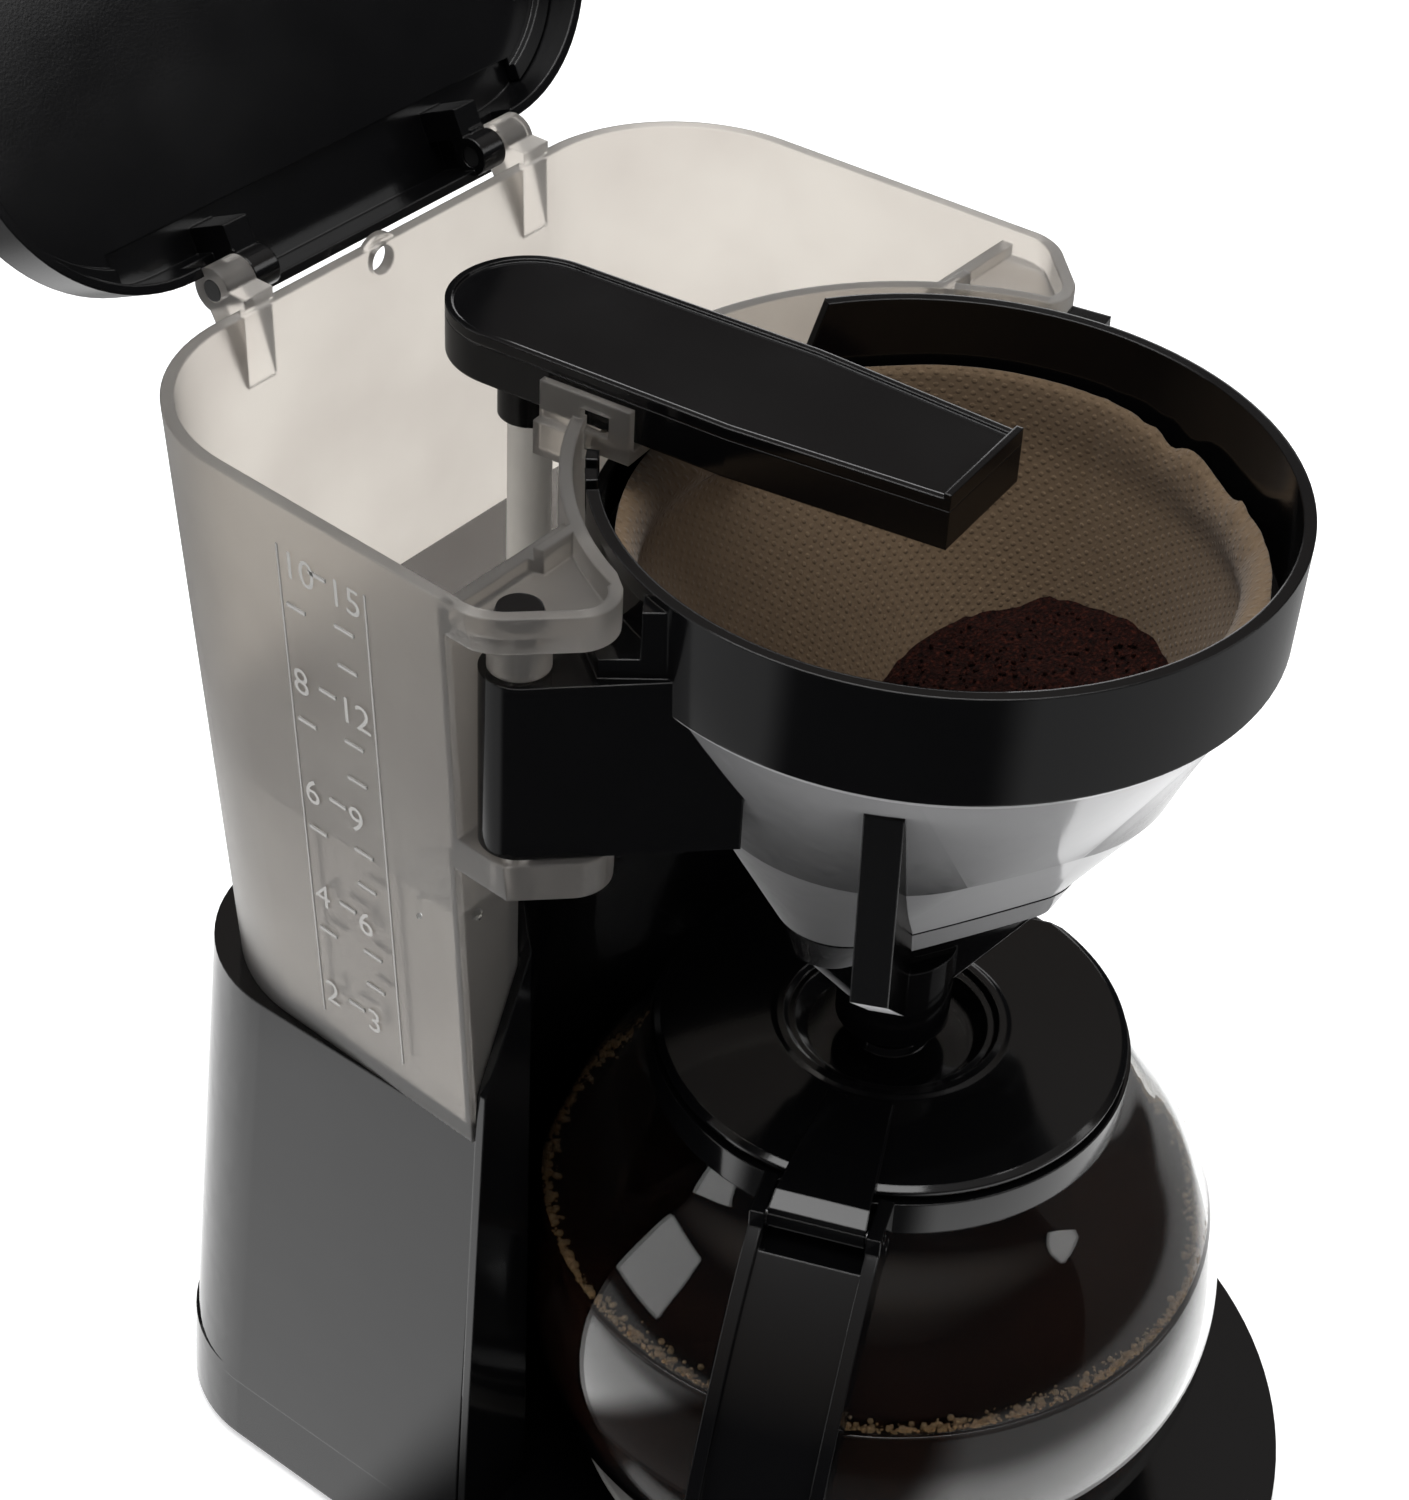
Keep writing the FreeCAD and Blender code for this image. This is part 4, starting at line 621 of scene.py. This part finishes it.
# ---- camera, light and floor ------------------------------------------------------------
camera = bpy.data.objects.new("camera", bpy.data.cameras.new("camera"))
bpy.context.scene.collection.objects.link(camera)
back = -Vector((0.6325, 0.4665, -0.6183)).normalized()
right = Vector((0.6205, -0.7829, 0.0440))
right = (right - right.dot(back) * back).normalized()
up = back.cross(right)
place = at(-457.9, -280.6, RIM_Z + 348.5)
camera.matrix_world = Matrix(((right.x, up.x, back.x, place.x), (right.y, up.y, back.y, place.y),
                              (right.z, up.z, back.z, place.z), (0, 0, 0, 1)))
camera.data.sensor_width = 36.0
camera.data.lens = 76.4
camera.data.clip_start = 0.02
bpy.context.scene.camera = camera

floor_mesh = bpy.data.meshes.new("floor")
corners = [(-6, -6), (6, -6), (6, 6), (-6, 6)]
floor_mesh.from_pydata([(x, y, -0.0005) for x, y in corners], [], [(0, 1, 2, 3)])
floor = bpy.data.objects.new("floor", floor_mesh)
bpy.context.scene.collection.objects.link(floor)
n = Nodes("pale_floor")
n.ramp(n.noise(3.0, 2.0), [(0.3, 0.86), (0.7, 0.88)], n.shader.inputs["Base Color"])
n.set(Roughness=0.6, Emission_Color=(1, 1, 1, 1), Emission_Strength=0.45)


def blend_in(source, a, b, low, high):
    node = n.add("ShaderNodeMapRange", interpolation_type="SMOOTHSTEP")
    for key, value in (("From Min", a), ("From Max", b), ("To Min", low), ("To Max", high)):
        node.inputs[key].default_value = value
    n.link(source, node.inputs["Value"])
    return node.outputs["Result"]


def math_node(kind, a, b):
    node = n.add("ShaderNodeMath", operation=kind)
    for value, socket in zip((a, b), node.inputs):
        if isinstance(value, float):
            socket.default_value = value
        else:
            n.link(value, socket)
    return node.outputs["Value"]


# painted reflections: in mirror images the floor glows with a bright patch round the machine and a darker
# studio beyond it, darkest in a sector on the camera's side
reach = n.add("ShaderNodeVectorMath", operation="LENGTH")
n.link(n.coords.outputs["Object"], reach.inputs[0])
sector = n.add("ShaderNodeVectorMath", operation="DOT_PRODUCT")
sector.inputs[1].default_value = (-0.853, -0.522, 0.0)
unit = n.add("ShaderNodeVectorMath", operation="NORMALIZE")
n.link(n.coords.outputs["Object"], unit.inputs[0])
n.link(unit.outputs["Vector"], sector.inputs[0])
near = blend_in(reach.outputs["Value"], 0.25, 0.36, 1.3, 0.0)
side = blend_in(sector.outputs["Value"], 0.90, 0.78, 0.05, 1.0)
far = blend_in(reach.outputs["Value"], 0.75, 1.6, 0.36, 0.03)
beyond = blend_in(reach.outputs["Value"], 0.25, 0.36, 0.0, 1.0)
glow = math_node("MULTIPLY", side, math_node("ADD", near, math_node("MULTIPLY", far, beyond)))
emission = n.add("ShaderNodeEmission")
n.link(glow, emission.inputs["Strength"])
# painted light: seen through clear pieces, the floor glows as a warm backlight
backlight = n.add("ShaderNodeEmission")
backlight.inputs["Color"].default_value = (1.0, 0.975, 0.94, 1)
backlight.inputs["Strength"].default_value = 1.45


def by_ray(tree, seen, through, mirrored, target):
    """One shader for what is seen directly, one through clear pieces, one in mirror images."""
    path = tree.nodes.new("ShaderNodeLightPath")
    clear = tree.nodes.new("ShaderNodeMixShader")
    tree.links.new(path.outputs["Is Transmission Ray"], clear.inputs[0])
    tree.links.new(seen, clear.inputs[1])
    tree.links.new(through, clear.inputs[2])
    swap = tree.nodes.new("ShaderNodeMixShader")
    tree.links.new(path.outputs["Glossy Depth"], swap.inputs[0])
    tree.links.new(clear.outputs["Shader"], swap.inputs[1])
    tree.links.new(mirrored, swap.inputs[2])
    tree.links.new(swap.outputs["Shader"], target)


by_ray(n.tree, n.shader.outputs["BSDF"], backlight.outputs["Emission"],
       emission.outputs["Emission"], n.tree.nodes["Material Output"].inputs["Surface"])
floor_mesh.materials.append(n.material)

world = bpy.data.worlds.new("studio")
bpy.context.scene.world = world
world.use_nodes = True
tree = world.node_tree
background = tree.nodes["Background"]
direction = tree.nodes.new("ShaderNodeTexCoord")
split = tree.nodes.new("ShaderNodeSeparateXYZ")
ramp = tree.nodes.new("ShaderNodeValToRGB")
tree.links.new(direction.outputs["Generated"], split.inputs["Vector"])
tree.links.new(split.outputs["Z"], ramp.inputs["Fac"])
stops = ramp.color_ramp.elements
stops[0].position, stops[0].color = 0.0, (0.02, 0.02, 0.022, 1)
stops[1].position, stops[1].color = 0.45, (0.03, 0.03, 0.032, 1)
warm = stops.new(0.62)
warm.color = (0.20, 0.18, 0.165, 1)
top = stops.new(0.95)
top.color = (0.42, 0.41, 0.41, 1)
dim = tree.nodes.new("ShaderNodeBackground")
tree.links.new(ramp.outputs["Color"], dim.inputs["Color"])
background.inputs["Color"].default_value = (0.62, 0.62, 0.64, 1)
background.inputs["Strength"].default_value = 0.75
through = tree.nodes.new("ShaderNodeBackground")
through.inputs["Color"].default_value = (1.0, 0.975, 0.935, 1)
through.inputs["Strength"].default_value = 1.0
by_ray(tree, background.outputs["Background"], through.outputs["Background"],
       dim.outputs["Background"], tree.nodes["World Output"].inputs["Surface"])


def area(name, place, width, height, power):
    """Rectangular light that faces the middle of the machine."""
    light = bpy.data.objects.new(name, bpy.data.lights.new(name, "AREA"))
    bpy.context.scene.collection.objects.link(light)
    light.data.shape = "RECTANGLE"
    light.data.size, light.data.size_y = width, height
    light.data.energy = power
    light.location = place
    light.rotation_euler = (Vector((0, 0, 0.2)) - Vector(place)).to_track_quat("-Z", "Y").to_euler()


area("overhead", (0.0, 0.1, 2.0), 1.6, 1.6, 34)
area("left_back", (-1.3, 1.6, 0.62), 1.8, 0.9, 8)
area("right_front", (0.9, -1.3, 1.15), 1.0, 0.6, 3.5)
area("right_back", (1.7, 0.9, 0.7), 1.2, 1.0, 7)
bpy.context.scene.view_settings.view_transform = "Standard"
